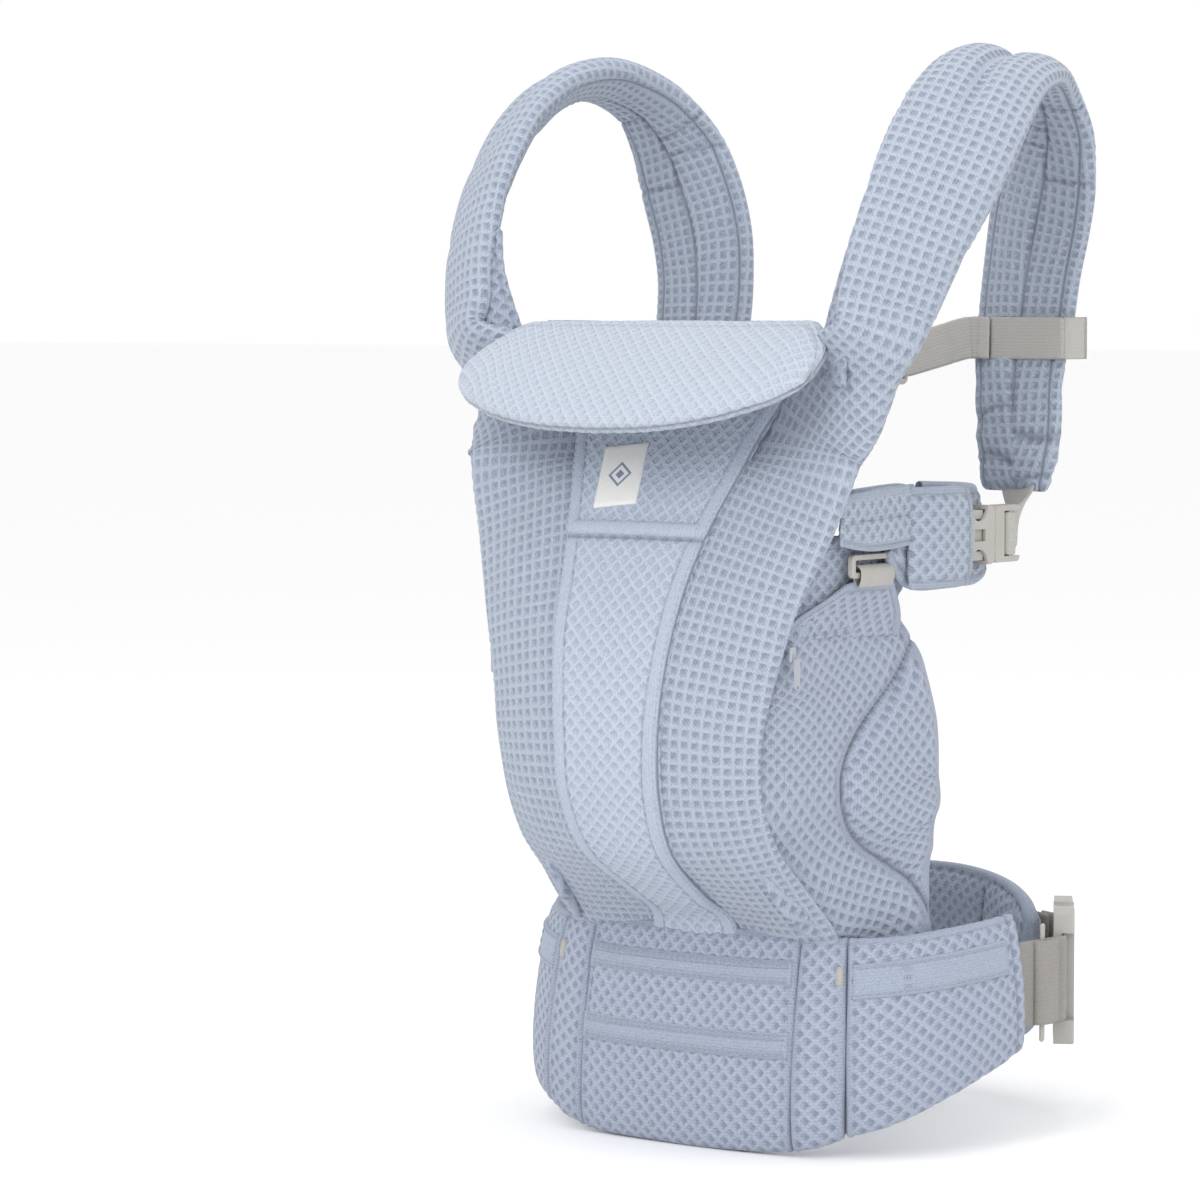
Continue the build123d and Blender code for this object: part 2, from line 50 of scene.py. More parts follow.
# ---- dimensions repeated from the part, in millimetres ------------------------------------------
BELT_THICK = 20.0
BELT_LEAN = 6.0
PANEL_PROFILE = [
    (132, -70, 31), (146, -104, 29), (174, -144, 34), (207, -161, 37), (240, -164, 38),
    (271, -162, 40), (302, -156, 43), (332, -145, 46), (361, -132, 52), (389, -117, 60),
    (412, -105, 67), (434, -98, 73), (455, -96, 77),
]
BAND_EDGE = [
    (133, 98, -76), (152, 93, -99), (177, 91, -123), (205, 91, -138), (240, 94, -144),
    (269, 98, -142), (303, 105, -137), (331, 113, -131), (361, 123, -123), (389, 132, -118),
    (412, 139, -114), (430, 146, -110),
]
STRAP_EDGES = [
    ((122, -127, 440), (153, -103, 436), 16),
    ((124, -121, 464), (163, -94, 458), 17),
    ((125, -114, 489), (171, -84, 481), 18),
    ((126.5, -106, 516), (178, -73, 507), 18),
    ((128, -95, 543), (184, -59, 531), 18),
    ((129, -79, 570), (188, -40, 557), 18),
    ((129, -55, 597), (188, -16, 585), 18),
    ((127, -20, 618), (183, 12, 606), 18),
    ((123, 22, 625), (175, 45, 612), 17),
    ((115, 65, 613), (167, 71, 601), 16),
    ((105, 92, 588), (166, 86, 581), 15),
    ((94, 100, 558), (163, 93, 556), 14),
    ((86, 102, 528), (157, 97, 528), 14),
    ((83, 100, 500), (152, 96, 500), 14),
    ((83, 96, 472), (150, 92, 472), 14),
    ((86, 89, 440), (147, 86, 440), 14),
    ((92, 85, 405), (145, 83, 410), 13),
    ((104, 82, 378), (136, 80, 384), 12),
]
WING_LEVELS = [
    (131, (96, -62), (124, -14)), (153, (90, -92), (123, -8)), (177, (87.5, -116), (122, -6)),
    (205, (87.5, -130), (121, -4)), (240, (90, -134), (119, -4)), (269, (93, -131), (116, -12)),
    (292, (97, -127), (113, -26)), (312, (101, -122), (111, -40)), (322, (104, -116), (110, -50)),
]
HEADREST_THICK = 15.0
HEADREST_SLOPE = math.radians(36)
HEADREST_PIVOT = np.array([0, -99.4, 479.0])
LOOP = (150.0, 127.0, 44.0)      # half width, half depth and centre of the belt's plan ellipse
LUMBAR_THICK = 17.0
WAIST_WEB, WAIST_WEB_THICK, WAIST_WEB_Z = 50.0, 2.4, 92.0
WEB, WEB_THICK = 25.0, 1.6
CHEST_Y, CHEST_Z, CHEST_DROP = 79.0, 461.0, 11.0

# ---- cloth -----------------------------------------------------------------------------------
WEAVE_PITCH = 6.4                # distance between pits of the mesh cloth, in millimetres
RIB = 2 * np.pi / math.sqrt(2)   # turns a pitch along the slanting ribs into an angle
SKIN_STEP = 1.6                  # usual mesh spacing of a padded piece
STITCH, STITCH_GAP, THREAD_RADIUS = 3.0, 1.3, 0.32

# ---- small geometry kit -------------------------------------------------------------------------
def unit(v):
    v = np.asarray(v, float)
    return v / np.maximum(np.linalg.norm(v, axis=-1, keepdims=True), 1e-12)


def catmull(points, where):
    """Smooth curve through an array of rows, at fractional row numbers."""
    p = np.asarray(points, float)
    where = np.clip(where, 0, len(p) - 1)
    i = np.minimum(where.astype(int), len(p) - 2)
    f = (where - i).reshape((-1,) + (1,) * (p.ndim - 1))
    first = 2 * p[0] - p[1]
    last = 2 * p[-1] - p[-2]
    q = np.concatenate([first[None], p, last[None]])
    a, b, c, d = q[i], q[i + 1], q[i + 2], q[i + 3]
    return 0.5 * (2 * b + (c - a) * f + (2 * a - 5 * b + 4 * c - d) * f**2 + (3 * b - a - 3 * c + d) * f**3)


def even_rows(points, step, key=slice(None)):
    """Fractional row numbers that are evenly spaced along the curve, about step apart."""
    fine = np.linspace(0, len(points) - 1, 40 * len(points))
    path = catmull(points, fine)[:, key]
    run = np.r_[0, np.cumsum(np.linalg.norm(np.diff(path, axis=0), axis=1))]
    count = max(4, int(round(run[-1] / step)) + 1)
    return np.interp(np.linspace(0, run[-1], count), run, fine)


def smoothstep(x, low, high):
    t = np.clip((x - low) / (high - low), 0, 1)
    return t * t * (3 - 2 * t)


def bump(x, centre, width):
    return np.exp(-((x - centre) / width) ** 2)


class Skin:
    """Closed padded tube. Rows of rings: u runs along it, v round it from the middle of its outer face."""

    def __init__(self, edges_in, edges_out, thick, power=2.8, step=SKIN_STEP, back=None, caps=(5.0, 5.0), axis=None):
        table = np.column_stack([np.asarray(edges_in, float), np.asarray(edges_out, float), np.asarray(thick, float)])
        back = np.zeros(len(table)) if back is None else np.asarray(back, float)
        power = np.full(len(table), power) if np.isscalar(power) else np.asarray(power, float)
        table = np.column_stack([table, back, power])
        middle = (table[:, 0:3] + table[:, 3:6]) / 2
        rows = even_rows(middle, step)
        t = catmull(table, rows)
        inner, outer, thick, back, power = t[:, 0:3], t[:, 3:6], t[:, 6], t[:, 7], t[:, 8]
        centre = (inner + outer) / 2
        along = unit(np.gradient(centre, axis=0))
        if axis is not None:
            along = unit(along * np.asarray(axis, float))
        across = outer - inner
        width = np.linalg.norm(across, axis=1)
        across = unit(across - along * np.sum(across * along, axis=1, keepdims=True))
        normal = np.cross(across, along)
        run = np.r_[0, np.cumsum(np.linalg.norm(np.diff(centre, axis=0), axis=1))]
        centre = centre - normal * back[:, None]
        count = int(np.ceil(2 * (width.max() + thick.max()) * 0.95 / step / 2)) * 2
        angle = np.linspace(-np.pi, np.pi, 721)
        share = np.linspace(0, 1, count, endpoint=False)
        rings = np.zeros((len(rows), count, 2))
        around = np.zeros(len(rows))
        for i in range(len(rows)):
            s, c = np.sin(angle), np.cos(angle)
            e = 2 / power[i]
            x = width[i] / 2 * np.sign(s) * np.abs(s) ** e
            y = thick[i] / 2 * np.sign(c) * np.abs(c) ** e
            length = np.r_[0, np.cumsum(np.hypot(np.diff(x), np.diff(y)))]
            around[i] = length[-1]
            rings[i, :, 0] = np.interp(share * length[-1], length, x)
            rings[i, :, 1] = np.interp(share * length[-1], length, y)
        near = np.ones(len(rows))
        for cap, distance in ((caps[0], run), (caps[1], run[-1] - run)):
            if cap > 0:
                near = np.minimum(near, np.sqrt(np.clip(1 - (1 - np.clip(distance / cap, 0.0, 1)) ** 2, 0.001, 1)))
        pinch = (1 - near) * np.minimum(thick, 8) * 0.35
        x = rings[:, :, 0] * (1 - pinch / (width / 2))[:, None]
        y = rings[:, :, 1] * near[:, None]
        self.P = centre[:, None] + across[:, None] * x[:, :, None] + normal[:, None] * y[:, :, None]
        self.x, self.y = x, y
        self.u = np.repeat(run[:, None], count, axis=1)
        self.v = (share[None] - 0.5) * around[:, None]
        self.around, self.run = around, run
        self.centre = centre
        self.width, self.thick = width, thick
        self.front = smoothstep(y / np.maximum(thick[:, None] / 2, 1e-6), -0.15, 0.25)
        self.plain = np.zeros_like(x)
        # how much painted shade darkens the cloth at each point: seam furrows, folds and stitch rows
        self.painted_shade = np.zeros_like(x)
        self.h = np.zeros_like(x)
        self.edge_in = x + (width / 2)[:, None]
        self.edge_out = (width / 2)[:, None] - x
        self.end = np.minimum(self.u, run[-1] - self.u)

    def normals(self):
        du = np.gradient(self.P, axis=0)
        dv = np.roll(self.P, -1, axis=1) - np.roll(self.P, 1, axis=1)
        return unit(np.cross(dv, du))

    def seam(self, distance, width=1.6, depth=1.2, where=1.0, dark=0.8):
        """Sewn furrow where distance is nought; dark sets how strong the painted shade along it is."""
        g = bump(distance, 0, width) * where
        self.h -= depth * g
        self.painted_shade = np.maximum(self.painted_shade, dark * bump(distance, 0, width * 0.6) * where)

    def finish(self, relief=0.55, pitch=WEAVE_PITCH, turn=0.0):
        """Raises the seams and puffs, then presses the weave in; turn is the angle the cloth is cut at."""
        self.P = self.P + self.normals() * self.h[:, :, None]
        self.turn = math.radians(turn)
        self.scale = WEAVE_PITCH / pitch
        co, si = math.cos(self.turn), math.sin(self.turn)
        cu, cv = self.u * co - self.v * si, self.u * si + self.v * co
        a = np.cos((cu + cv) * RIB / pitch)
        b = np.cos((cu - cv) * RIB / pitch)
        dimple = 0.75 * np.minimum(1 + a, 1 + b) / 2 + 0.25 * (1 + a) * (1 + b) / 4
        self.smooth = self.P.copy()
        self.smooth_normal = self.normals()
        fade = (1 - self.plain) * smoothstep(self.end, 1, 5)
        self.P = self.P - self.smooth_normal * (relief * dimple * fade)[:, :, None]
        return self

    def at(self, u, v, lift=0.0):
        """Points on the finished skin, with their normals."""
        u, v = np.asarray(u, float), np.asarray(v, float)
        i = np.clip(np.interp(u, self.run, np.arange(len(self.run))), 0, len(self.run) - 1.001)
        i0 = i.astype(int)
        fi = (i - i0)[..., None]
        around = np.interp(u, self.run, self.around)
        n = self.P.shape[1]
        j = (v / around + 0.5) * n
        j0 = np.floor(j).astype(int)
        fj = (j - j0)[..., None]
        def pick(table):
            a = table[i0, j0 % n] * (1 - fj) + table[i0, (j0 + 1) % n] * fj
            b = table[i0 + 1, j0 % n] * (1 - fj) + table[i0 + 1, (j0 + 1) % n] * fj
            return a * (1 - fi) + b * fi
        normal = unit(pick(self.smooth_normal))
        return pick(self.smooth) + normal * np.asarray(lift)[..., None], normal


def mesh_object(name, verts, faces, uvs=None, materials=(), smooth=True, attributes=None):
    mesh = bpy.data.meshes.new(name)
    verts = np.asarray(verts, float) * MM
    mesh.from_pydata(verts.tolist(), [], faces if isinstance(faces, list) else faces.tolist())
    if uvs is not None:
        layer = mesh.uv_layers.new(name="UVMap")
        layer.data.foreach_set("uv", (np.asarray(uvs, np.float32) * MM).ravel())
    for key, values in (attributes or {}).items():
        a = mesh.attributes.new(key, "FLOAT", "POINT")
        a.data.foreach_set("value", np.asarray(values, np.float32).ravel())
    for m in materials:
        mesh.materials.append(m)
    mesh.polygons.foreach_set("use_smooth", [smooth] * len(mesh.polygons))
    mesh.update()
    obj = bpy.data.objects.new(name, mesh)
    bpy.context.scene.collection.objects.link(obj)
    return obj


def mirror_x(points):
    return np.asarray(points) * np.array([-1.0, 1.0, 1.0])


def skin_object(name, skin, material, mirror=False):
    n, m = skin.P.shape[:2]
    verts = skin.P.reshape(-1, 3)
    if mirror:
        verts = mirror_x(verts)
    i, j = np.meshgrid(np.arange(n - 1), np.arange(m), indexing="ij")
    a = i * m + j
    b = i * m + (j + 1) % m
    quads = np.stack([a, b, b + m, a + m], axis=-1).reshape(-1, 4)
    u, v = skin.u, skin.v
    v_next = np.where(np.arange(m) == m - 1, 0.5, 0)[None] * skin.around[:, None] + np.where(
        np.arange(m) == m - 1, 0, np.roll(v, -1, axis=1))
    u0, u1 = u[:-1], u[1:]
    uv = np.stack([
        np.stack([u0, v[:-1]], -1), np.stack([u0, v_next[:-1]], -1),
        np.stack([u1, v_next[1:]], -1), np.stack([u1, v[1:]], -1)], axis=2).reshape(-1, 4, 2)
    co, si = math.cos(skin.turn), math.sin(skin.turn)
    uv = np.stack([uv[..., 0] * co - uv[..., 1] * si, uv[..., 0] * si + uv[..., 1] * co], -1) * skin.scale
    if mirror:
        quads = quads[:, ::-1]
        uv = uv[:, ::-1]
    first = list(range(m))
    last = [(n - 1) * m + k for k in range(m)]
    caps = [first[::-1], last] if not mirror else [first, last[::-1]]
    faces = quads.tolist() + caps
    uvs = np.concatenate([uv.reshape(-1, 2), np.zeros((2 * m, 2))])
    # the plain share and the painted shade go to the material as point attributes
    return mesh_object(name, verts, faces, uvs, [material], True,
                       {"plain": skin.plain, "painted_shade": skin.painted_shade})


def laid(name, skin, us, vs, material, lift=1.0, rim=0.8, mirror=False, plain=None, turn=0.0, drift=None, rows=()):
    """Flat piece sewn on a skin: us and vs are its edges in millimetres, its rim goes down into the skin; the sunk rim
    and the stitch rows given in rows get painted shade.
    """
    u0, u1 = us
    v0, v1 = vs
    nu = max(3, int((u1 - u0) / 1.5))
    nv = max(3, int((v1 - v0) / (0.7 if rows else 1.5)))
    su = np.r_[-rim, np.linspace(0, u1 - u0, nu), u1 - u0 + rim] + u0
    sv = np.r_[-rim, np.linspace(0, v1 - v0, nv), v1 - v0 + rim] + v0
    U, V = np.meshgrid(su, sv, indexing="ij")
    cu, cv = (u0 + u1) / 2, (v0 + v1) / 2
    inside = np.minimum(np.minimum(U - u0, u1 - U), np.minimum(V - v0, v1 - V))
    height = lift * (1 - 0.5 * bump(inside, 0, 0.9))
    height = np.where(inside < -0.01, -0.9, height)
    co, si = math.cos(turn), math.sin(turn)
    ru = cu + (U - cu) * co - (V - cv) * si
    rv = cv + (U - cu) * si + (V - cv) * co
    if drift is not None:
        rv = rv + drift(ru)
    points, _ = skin.at(ru, rv, height)
    # painted shade: dark where the rim sinks into the skin, and thin dark lines along the stitch rows
    painted_shade = 0.8 * (inside < 0)
    for row in rows:
        painted_shade = np.maximum(painted_shade, 0.42 * bump(V - v0 - row, 0, 0.55) * (inside > 0))
    n, m = U.shape
    i, j = np.meshgrid(np.arange(n - 1), np.arange(m - 1), indexing="ij")
    a = i * m + j
    quads = np.stack([a, a + 1, a + m + 1, a + m], axis=-1).reshape(-1, 4)
    flat = np.stack([U, V], -1).reshape(-1, 2)
    verts = points.reshape(-1, 3)
    if mirror:
        verts = mirror_x(verts)
        quads = quads[:, ::-1]
    plain_values = np.ones(n * m) if plain is None else plain(U, V).ravel()
    return mesh_object(name, verts, quads.tolist(), flat[quads.ravel()], [material], True,
                       {"plain": plain_values, "painted_shade": painted_shade.ravel()})


def stitches(name, runs, material, mirror=False, length=STITCH, gap=STITCH_GAP, radius=THREAD_RADIUS):
    """Sewing thread: each run is (points, normals) along a seam, in millimetres."""
    all_verts, faces = [], []
    count = 0
    for points, normals in runs:
        step = np.r_[0, np.cumsum(np.linalg.norm(np.diff(points, axis=0), axis=1))]
        pieces = int(step[-1] // (length + gap))
        for k in range(pieces):
            at = (k + 0.5) * step[-1] / pieces
            grid = at + np.array([-0.5, -0.36, 0, 0.36, 0.5]) * length
            c = np.stack([np.interp(grid, step, points[:, q]) for q in range(3)], -1)
            nrm = unit(np.array([np.interp(at, step, normals[:, q]) for q in range(3)]))
            ahead = unit(c[-1] - c[0])
            side = unit(np.cross(nrm, ahead))
            up = np.array([-0.35, 0.12, 0.2, 0.12, -0.35])
            size = np.array([0.25, 0.95, 1, 0.95, 0.25]) * radius
            ring = np.arange(5) * 2 * np.pi / 5
            v = (c + nrm * up[:, None])[:, None] + (
                side[None, None] * np.cos(ring)[None, :, None] + nrm[None, None] * np.sin(ring)[None, :, None]
            ) * size[:, None, None]
            all_verts.append(v.reshape(-1, 3))
            for r in range(4):
                for s in range(5):
                    p, q = count + r * 5 + s, count + r * 5 + (s + 1) % 5
                    faces.append([p, q, q + 5, p + 5])
            faces.append([count + s for s in range(4, -1, -1)])
            faces.append([count + 20 + s for s in range(5)])
            count += 25
    verts = np.concatenate(all_verts)
    if mirror:
        verts = mirror_x(verts)
        faces = [f[::-1] for f in faces]
    return mesh_object(name, verts, faces, None, [material])


def seam_run(skin, us, vs, count=None, lift=0.0):
    us, vs = np.broadcast_arrays(np.asarray(us, float), np.asarray(vs, float))
    t = np.linspace(0, 1, len(us))
    fine = np.linspace(0, 1, count or max(20, int(np.hypot(np.diff(us), np.diff(vs)).sum() / 2) + 2))
    return skin.at(np.interp(fine, t, us), np.interp(fine, t, vs), lift)


# ---- materials ----------------------------------------------------------------------------------
def linear(rgb):
    return [((c / 255 + 0.055) / 1.055) ** 2.4 if c > 10 else c / 255 / 12.92 for c in rgb]


class Nodes:
    """Short way to write a node material."""

    def __init__(self, name):
        self.material = bpy.data.materials.new(name)
        self.material.use_nodes = True
        self.tree = self.material.node_tree
        self.tree.nodes.clear()
        self.out = self.tree.nodes.new("ShaderNodeOutputMaterial")
        self.shader = self.tree.nodes.new("ShaderNodeBsdfPrincipled")
        self.tree.links.new(self.shader.outputs[0], self.out.inputs[0])

    def put(self, socket, value):
        if hasattr(value, "links"):
            self.tree.links.new(value, socket)
        else:
            socket.default_value = value

    def math(self, operation, a, b=0.0, clamp=False):
        n = self.tree.nodes.new("ShaderNodeMath")
        n.operation = operation
        n.use_clamp = clamp
        self.put(n.inputs[0], a)
        self.put(n.inputs[1], b)
        return n.outputs[0]

    def add(self, a, b, clamp=False):
        return self.math("ADD", a, b, clamp)

    def sub(self, a, b, clamp=False):
        return self.math("SUBTRACT", a, b, clamp)

    def mul(self, a, b, clamp=False):
        return self.math("MULTIPLY", a, b, clamp)

    def mix(self, share, a, b):
        n = self.tree.nodes.new("ShaderNodeMix")
        n.data_type = "RGBA"
        self.put(n.inputs[0], share)
        self.put(n.inputs[6], a if hasattr(a, "links") else (*a, 1))
        self.put(n.inputs[7], b if hasattr(b, "links") else (*b, 1))
        return n.outputs[2]

    def uv(self):
        n = self.tree.nodes.new("ShaderNodeUVMap")
        n.uv_map = "UVMap"
        s = self.tree.nodes.new("ShaderNodeSeparateXYZ")
        self.tree.links.new(n.outputs[0], s.inputs[0])
        return s.outputs[0], s.outputs[1]

    def noise(self, scale, detail=2.0, rough=0.5):
        n = self.tree.nodes.new("ShaderNodeTexNoise")
        n.inputs["Scale"].default_value = scale
        n.inputs["Detail"].default_value = detail
        n.inputs["Roughness"].default_value = rough
        place = self.tree.nodes.new("ShaderNodeTexCoord")
        self.tree.links.new(place.outputs["Object"], n.inputs["Vector"])
        return n.outputs["Fac"]

    def attribute(self, name):
        n = self.tree.nodes.new("ShaderNodeAttribute")
        n.attribute_name = name
        return n.outputs["Fac"]

    def bump(self, height, distance, strength=1.0):
        n = self.tree.nodes.new("ShaderNodeBump")
        n.inputs["Strength"].default_value = strength
        n.inputs["Distance"].default_value = distance
        self.put(n.inputs["Height"], height)
        self.tree.links.new(n.outputs[0], self.shader.inputs["Normal"])

    def set(self, **values):
        for key, value in values.items():
            self.put(self.shader.inputs[key.replace("_", " ")], value)
        return self.material


def mesh_fabric(name, light, dark, contrast):
    """Knitted air mesh: staggered diamond pits over a fine knit, smooth where the piece says so; each pit carries
    painted shade on its upper side and a painted highlight along its lower edge, and sewn seams carry painted shade.
    """
    n = Nodes(name)
    x, y = n.uv()
    k = RIB / WEAVE_PITCH / MM
    knit = 0.5
    waver = n.mul(n.sub(n.noise(45.0, 2.0), 0.5), 1.1)
    first = n.add(n.mul(n.add(x, y), k), waver)
    second = n.add(n.mul(n.sub(x, y), k), waver)

    # pit pattern; a shift moves it along the cloth, which places the painted shade and the painted highlight off the
    # pit's centre
    def pits(shift):
        a, b = (n.add(n.mul(n.math("COSINE", n.add(c, shift)), 0.5), 0.5) for c in (first, second))
        return n.add(n.mul(n.math("MINIMUM", a, b), 0.8), n.mul(n.mul(a, b), 0.2))

    open_mesh = n.sub(1.0, n.attribute("plain"), clamp=True)
    pit = n.mul(pits(0.0), open_mesh)
    # a copy moved up the cloth marks painted shade on the upper side of each pit, one moved down marks a painted
    # highlight along its lower edge
    shade_core = n.mul(pits(-0.55), open_mesh)
    highlight_lip = n.mul(pits(0.75), open_mesh)
    edge = n.mul(n.sub(pit, 0.15), 2.4, clamp=True)
    shade = n.mul(n.sub(shade_core, 0.24), 1.7, clamp=True)
    painted_lip_highlight = n.mul(n.sub(highlight_lip, n.add(n.mul(shade_core, 0.75), 0.18)), 1.3, clamp=True)
    uneven = n.noise(160.0, 2.0)
    # darkness of the pits: the darker backing showing through, plus the painted shade
    pit_tone_and_painted_shade = n.mul(n.add(n.mul(edge, 0.34), n.mul(shade, 0.46)),
                    n.add(n.mul(uneven, 0.5), 0.8 * contrast), clamp=True)
    share = n.add(pit_tone_and_painted_shade, n.mul(n.attribute("plain"), 0.30), clamp=True)
    # fine knit: slanting rows of small loops
    kx = n.math("SINE", n.mul(n.add(x, n.mul(y, 0.5)), 2 * math.pi / (2.3 * MM)))
    ky = n.math("SINE", n.add(n.mul(y, 2 * math.pi / (1.8 * MM)), n.mul(kx, 1.2)))
    fuzz = n.sub(n.mul(n.noise(760.0, 3.0, rough=0.65), 2.0), 1.0)
    grain = n.add(n.mul(n.mul(kx, ky), 0.55), n.mul(fuzz, 1.7))
    wash = n.noise(16.0, 3.0)
    base = n.mix(share, light, dark)
    # painted highlight along the lower edge of each pit
    base = n.mix(n.mul(painted_lip_highlight, 0.35), base, [min(1, c * 1.16) for c in light])
    base = n.mix(n.mul(n.math("MAXIMUM", grain, 0.0), knit, clamp=True), base, [c * 0.82 for c in dark])
    base = n.mix(n.mul(n.math("MAXIMUM", n.mul(grain, -1.0), 0.0), knit * 0.7, clamp=True), base,
                 [min(1, c * 1.22) for c in light])
    base = n.mix(n.mul(wash, 0.10), base, [min(1, c * 1.2) for c in light])
    # painted shade in seam furrows, folds, under the welt and along stitch rows, read from the point attribute
    base = n.mix(n.mul(n.attribute("painted_shade"), 0.72), base, [c * 0.36 for c in dark])
    height = n.sub(n.mul(grain, 0.20), n.mul(edge, 0.75))
    n.bump(height, 0.0012, 0.8)
    return n.set(Base_Color=base, Roughness=0.86, Sheen_Weight=0.25, Sheen_Roughness=0.45, Specular_IOR_Level=0.22)


def webbing_fabric(name, light, dark, rib=1.9):
    n = Nodes(name)
    x, y = n.uv()
    kx = n.math("SINE", n.mul(x, 2 * math.pi / (1.0 * MM)))
    ky = n.math("SINE", n.add(n.mul(y, 2 * math.pi / (rib * MM)), n.mul(kx, 0.5)))
    weave = n.mul(n.add(n.mul(kx, ky), 1.0), 0.5)
    fuzz = n.noise(900.0, 3.0)
    wash = n.noise(30.0, 2.0)
    share = n.add(n.mul(weave, 0.35), n.mul(n.sub(fuzz, 0.35), 0.9), clamp=True)
    base = n.mix(share, light, dark)
    base = n.mix(n.mul(wash, 0.12), base, [c * 0.8 for c in dark])
    # painted shade along the sewn seams, read from the point attribute
    base = n.mix(n.mul(n.attribute("painted_shade"), 0.5), base, [c * 0.4 for c in dark])
    n.bump(n.add(weave, n.mul(fuzz, 0.5)), 0.0006, 0.6)
    return n.set(Base_Color=base, Roughness=0.72, Sheen_Weight=0.15, Sheen_Roughness=0.5, Specular_IOR_Level=0.3)


def plastic(name, light, dark, rough=0.48):
    n = Nodes(name)
    cloud = n.noise(60.0, 3.0)
    grain = n.noise(2600.0, 2.0)
    base = n.mix(cloud, light, dark)
    n.bump(grain, 0.00008, 0.5)
    r = n.add(n.mul(grain, 0.16), rough - 0.08)
    return n.set(Base_Color=base, Roughness=r, Specular_IOR_Level=0.45)


def tinted(rgb, factor):
    return [min(1.0, c * factor * k) for c, k in zip(linear(rgb), (0.772, 0.768, 0.765))]


outer_mesh = mesh_fabric("outer mesh", tinted((196, 207, 224), 0.88), tinted((142, 153, 175), 0.86), 0.9)
panel_mesh = mesh_fabric("centre panel mesh", tinted((200, 211, 228), 0.96), tinted((166, 177, 198), 0.96), 0.7)
head_mesh = mesh_fabric("headrest mesh", tinted((205, 215, 229), 0.94), tinted((180, 192, 209), 0.94), 0.6)
belt_mesh = mesh_fabric("belt mesh", tinted((190, 200, 220), 0.91), tinted((138, 149, 172), 0.90), 0.95)
seat_mesh = mesh_fabric("seat mesh", tinted((191, 201, 220), 0.90), tinted((136, 147, 170), 0.88), 0.95)
lining_mesh = mesh_fabric("lining mesh", tinted((182, 192, 210), 0.93), tinted((138, 149, 171), 0.93), 0.85)
tape = mesh_fabric("binding tape", tinted((186, 197, 215), 0.95), tinted((150, 161, 183), 0.95), 0.6)
grey_web = webbing_fabric("grey webbing", tinted((208, 206, 201), 1.0), tinted((178, 175, 169), 1.0))
# the waist webbing is drawn darker than the grey webbing, matched to a spot that lies partly in shade, so part of its
# darkness is painted shade
waist_web = webbing_fabric("waist webbing", tinted((178, 175, 169), 1.0), tinted((138, 135, 129), 1.0), 2.6)
elastic = webbing_fabric("blue elastic", tinted((182, 192, 210), 0.93), tinted((138, 149, 171), 0.93), 1.4)
buckle_plastic = plastic("buckle plastic", tinted((196, 193, 187), 1.0), tinted((184, 181, 175), 1.0))
zip_finish = plastic("zip finish", tinted((196, 200, 207), 0.95), tinted((182, 187, 196), 0.95), 0.35)
thread = webbing_fabric("sewing thread", tinted((196, 207, 224), 0.95), tinted((160, 171, 192), 0.95))


def label_fabric():
    n = Nodes("woven label")
    x, y = n.uv()
    a = n.math("ABSOLUTE", n.mul(x, 1000.0))
    b = n.math("ABSOLUTE", n.mul(y, 1000.0))
    ring = n.sub(n.add(a, b), 7.0)
    line = n.math("LESS_THAN", n.math("ABSOLUTE", ring), 1.0)
    dot = n.math("LESS_THAN", n.add(a, b), 3.0)
    mark = n.math("MAXIMUM", line, dot)
    fine = n.math("SINE", n.mul(y, 2 * math.pi / (0.6 * MM)))
    fuzz = n.noise(1200.0, 2.0)
    white = n.mix(fuzz, linear((233, 232, 229)), linear((215, 214, 211)))
    base = n.mix(mark, white, linear((120, 134, 160)))
    n.bump(n.add(fine, fuzz), 0.0003, 0.4)
    return n.set(Base_Color=base, Roughness=0.7, Sheen_Weight=0.1)


label_material = label_fabric()

# ---- camera -------------------------------------------------------------------------------------
TURN, TILT = math.radians(37.0), math.radians(3.576)
back = Vector((math.sin(TURN) * math.cos(TILT), -math.cos(TURN) * math.cos(TILT), math.sin(TILT)))
right = Vector((math.cos(TURN), math.sin(TURN), 0))
upward = back.cross(right)
camera = bpy.data.objects.new("camera", bpy.data.cameras.new("camera"))
camera.matrix_world = Matrix(((right.x, upward.x, back.x, 1.5997), (right.y, upward.y, back.y, -2.2889),
                              (right.z, upward.z, back.z, 0.4847), (0, 0, 0, 1)))
camera.data.lens = 142.8
camera.data.sensor_width = 36
bpy.context.scene.collection.objects.link(camera)
bpy.context.scene.camera = camera

# ---- pieces -------------------------------------------------------------------------------------
SIDES = (("right", False), ("left", True))


def settle(piece, body, nodes=()):
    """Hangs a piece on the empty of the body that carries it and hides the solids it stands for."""
    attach(piece, body)
    if nodes:
        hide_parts(*nodes)


def nearest(*distances):
    """The smallest of several distances, point by point."""
    return np.minimum.reduce(np.broadcast_arrays(*distances))


def tail_start(s):
    return s.u - (s.run[-1] - 60)


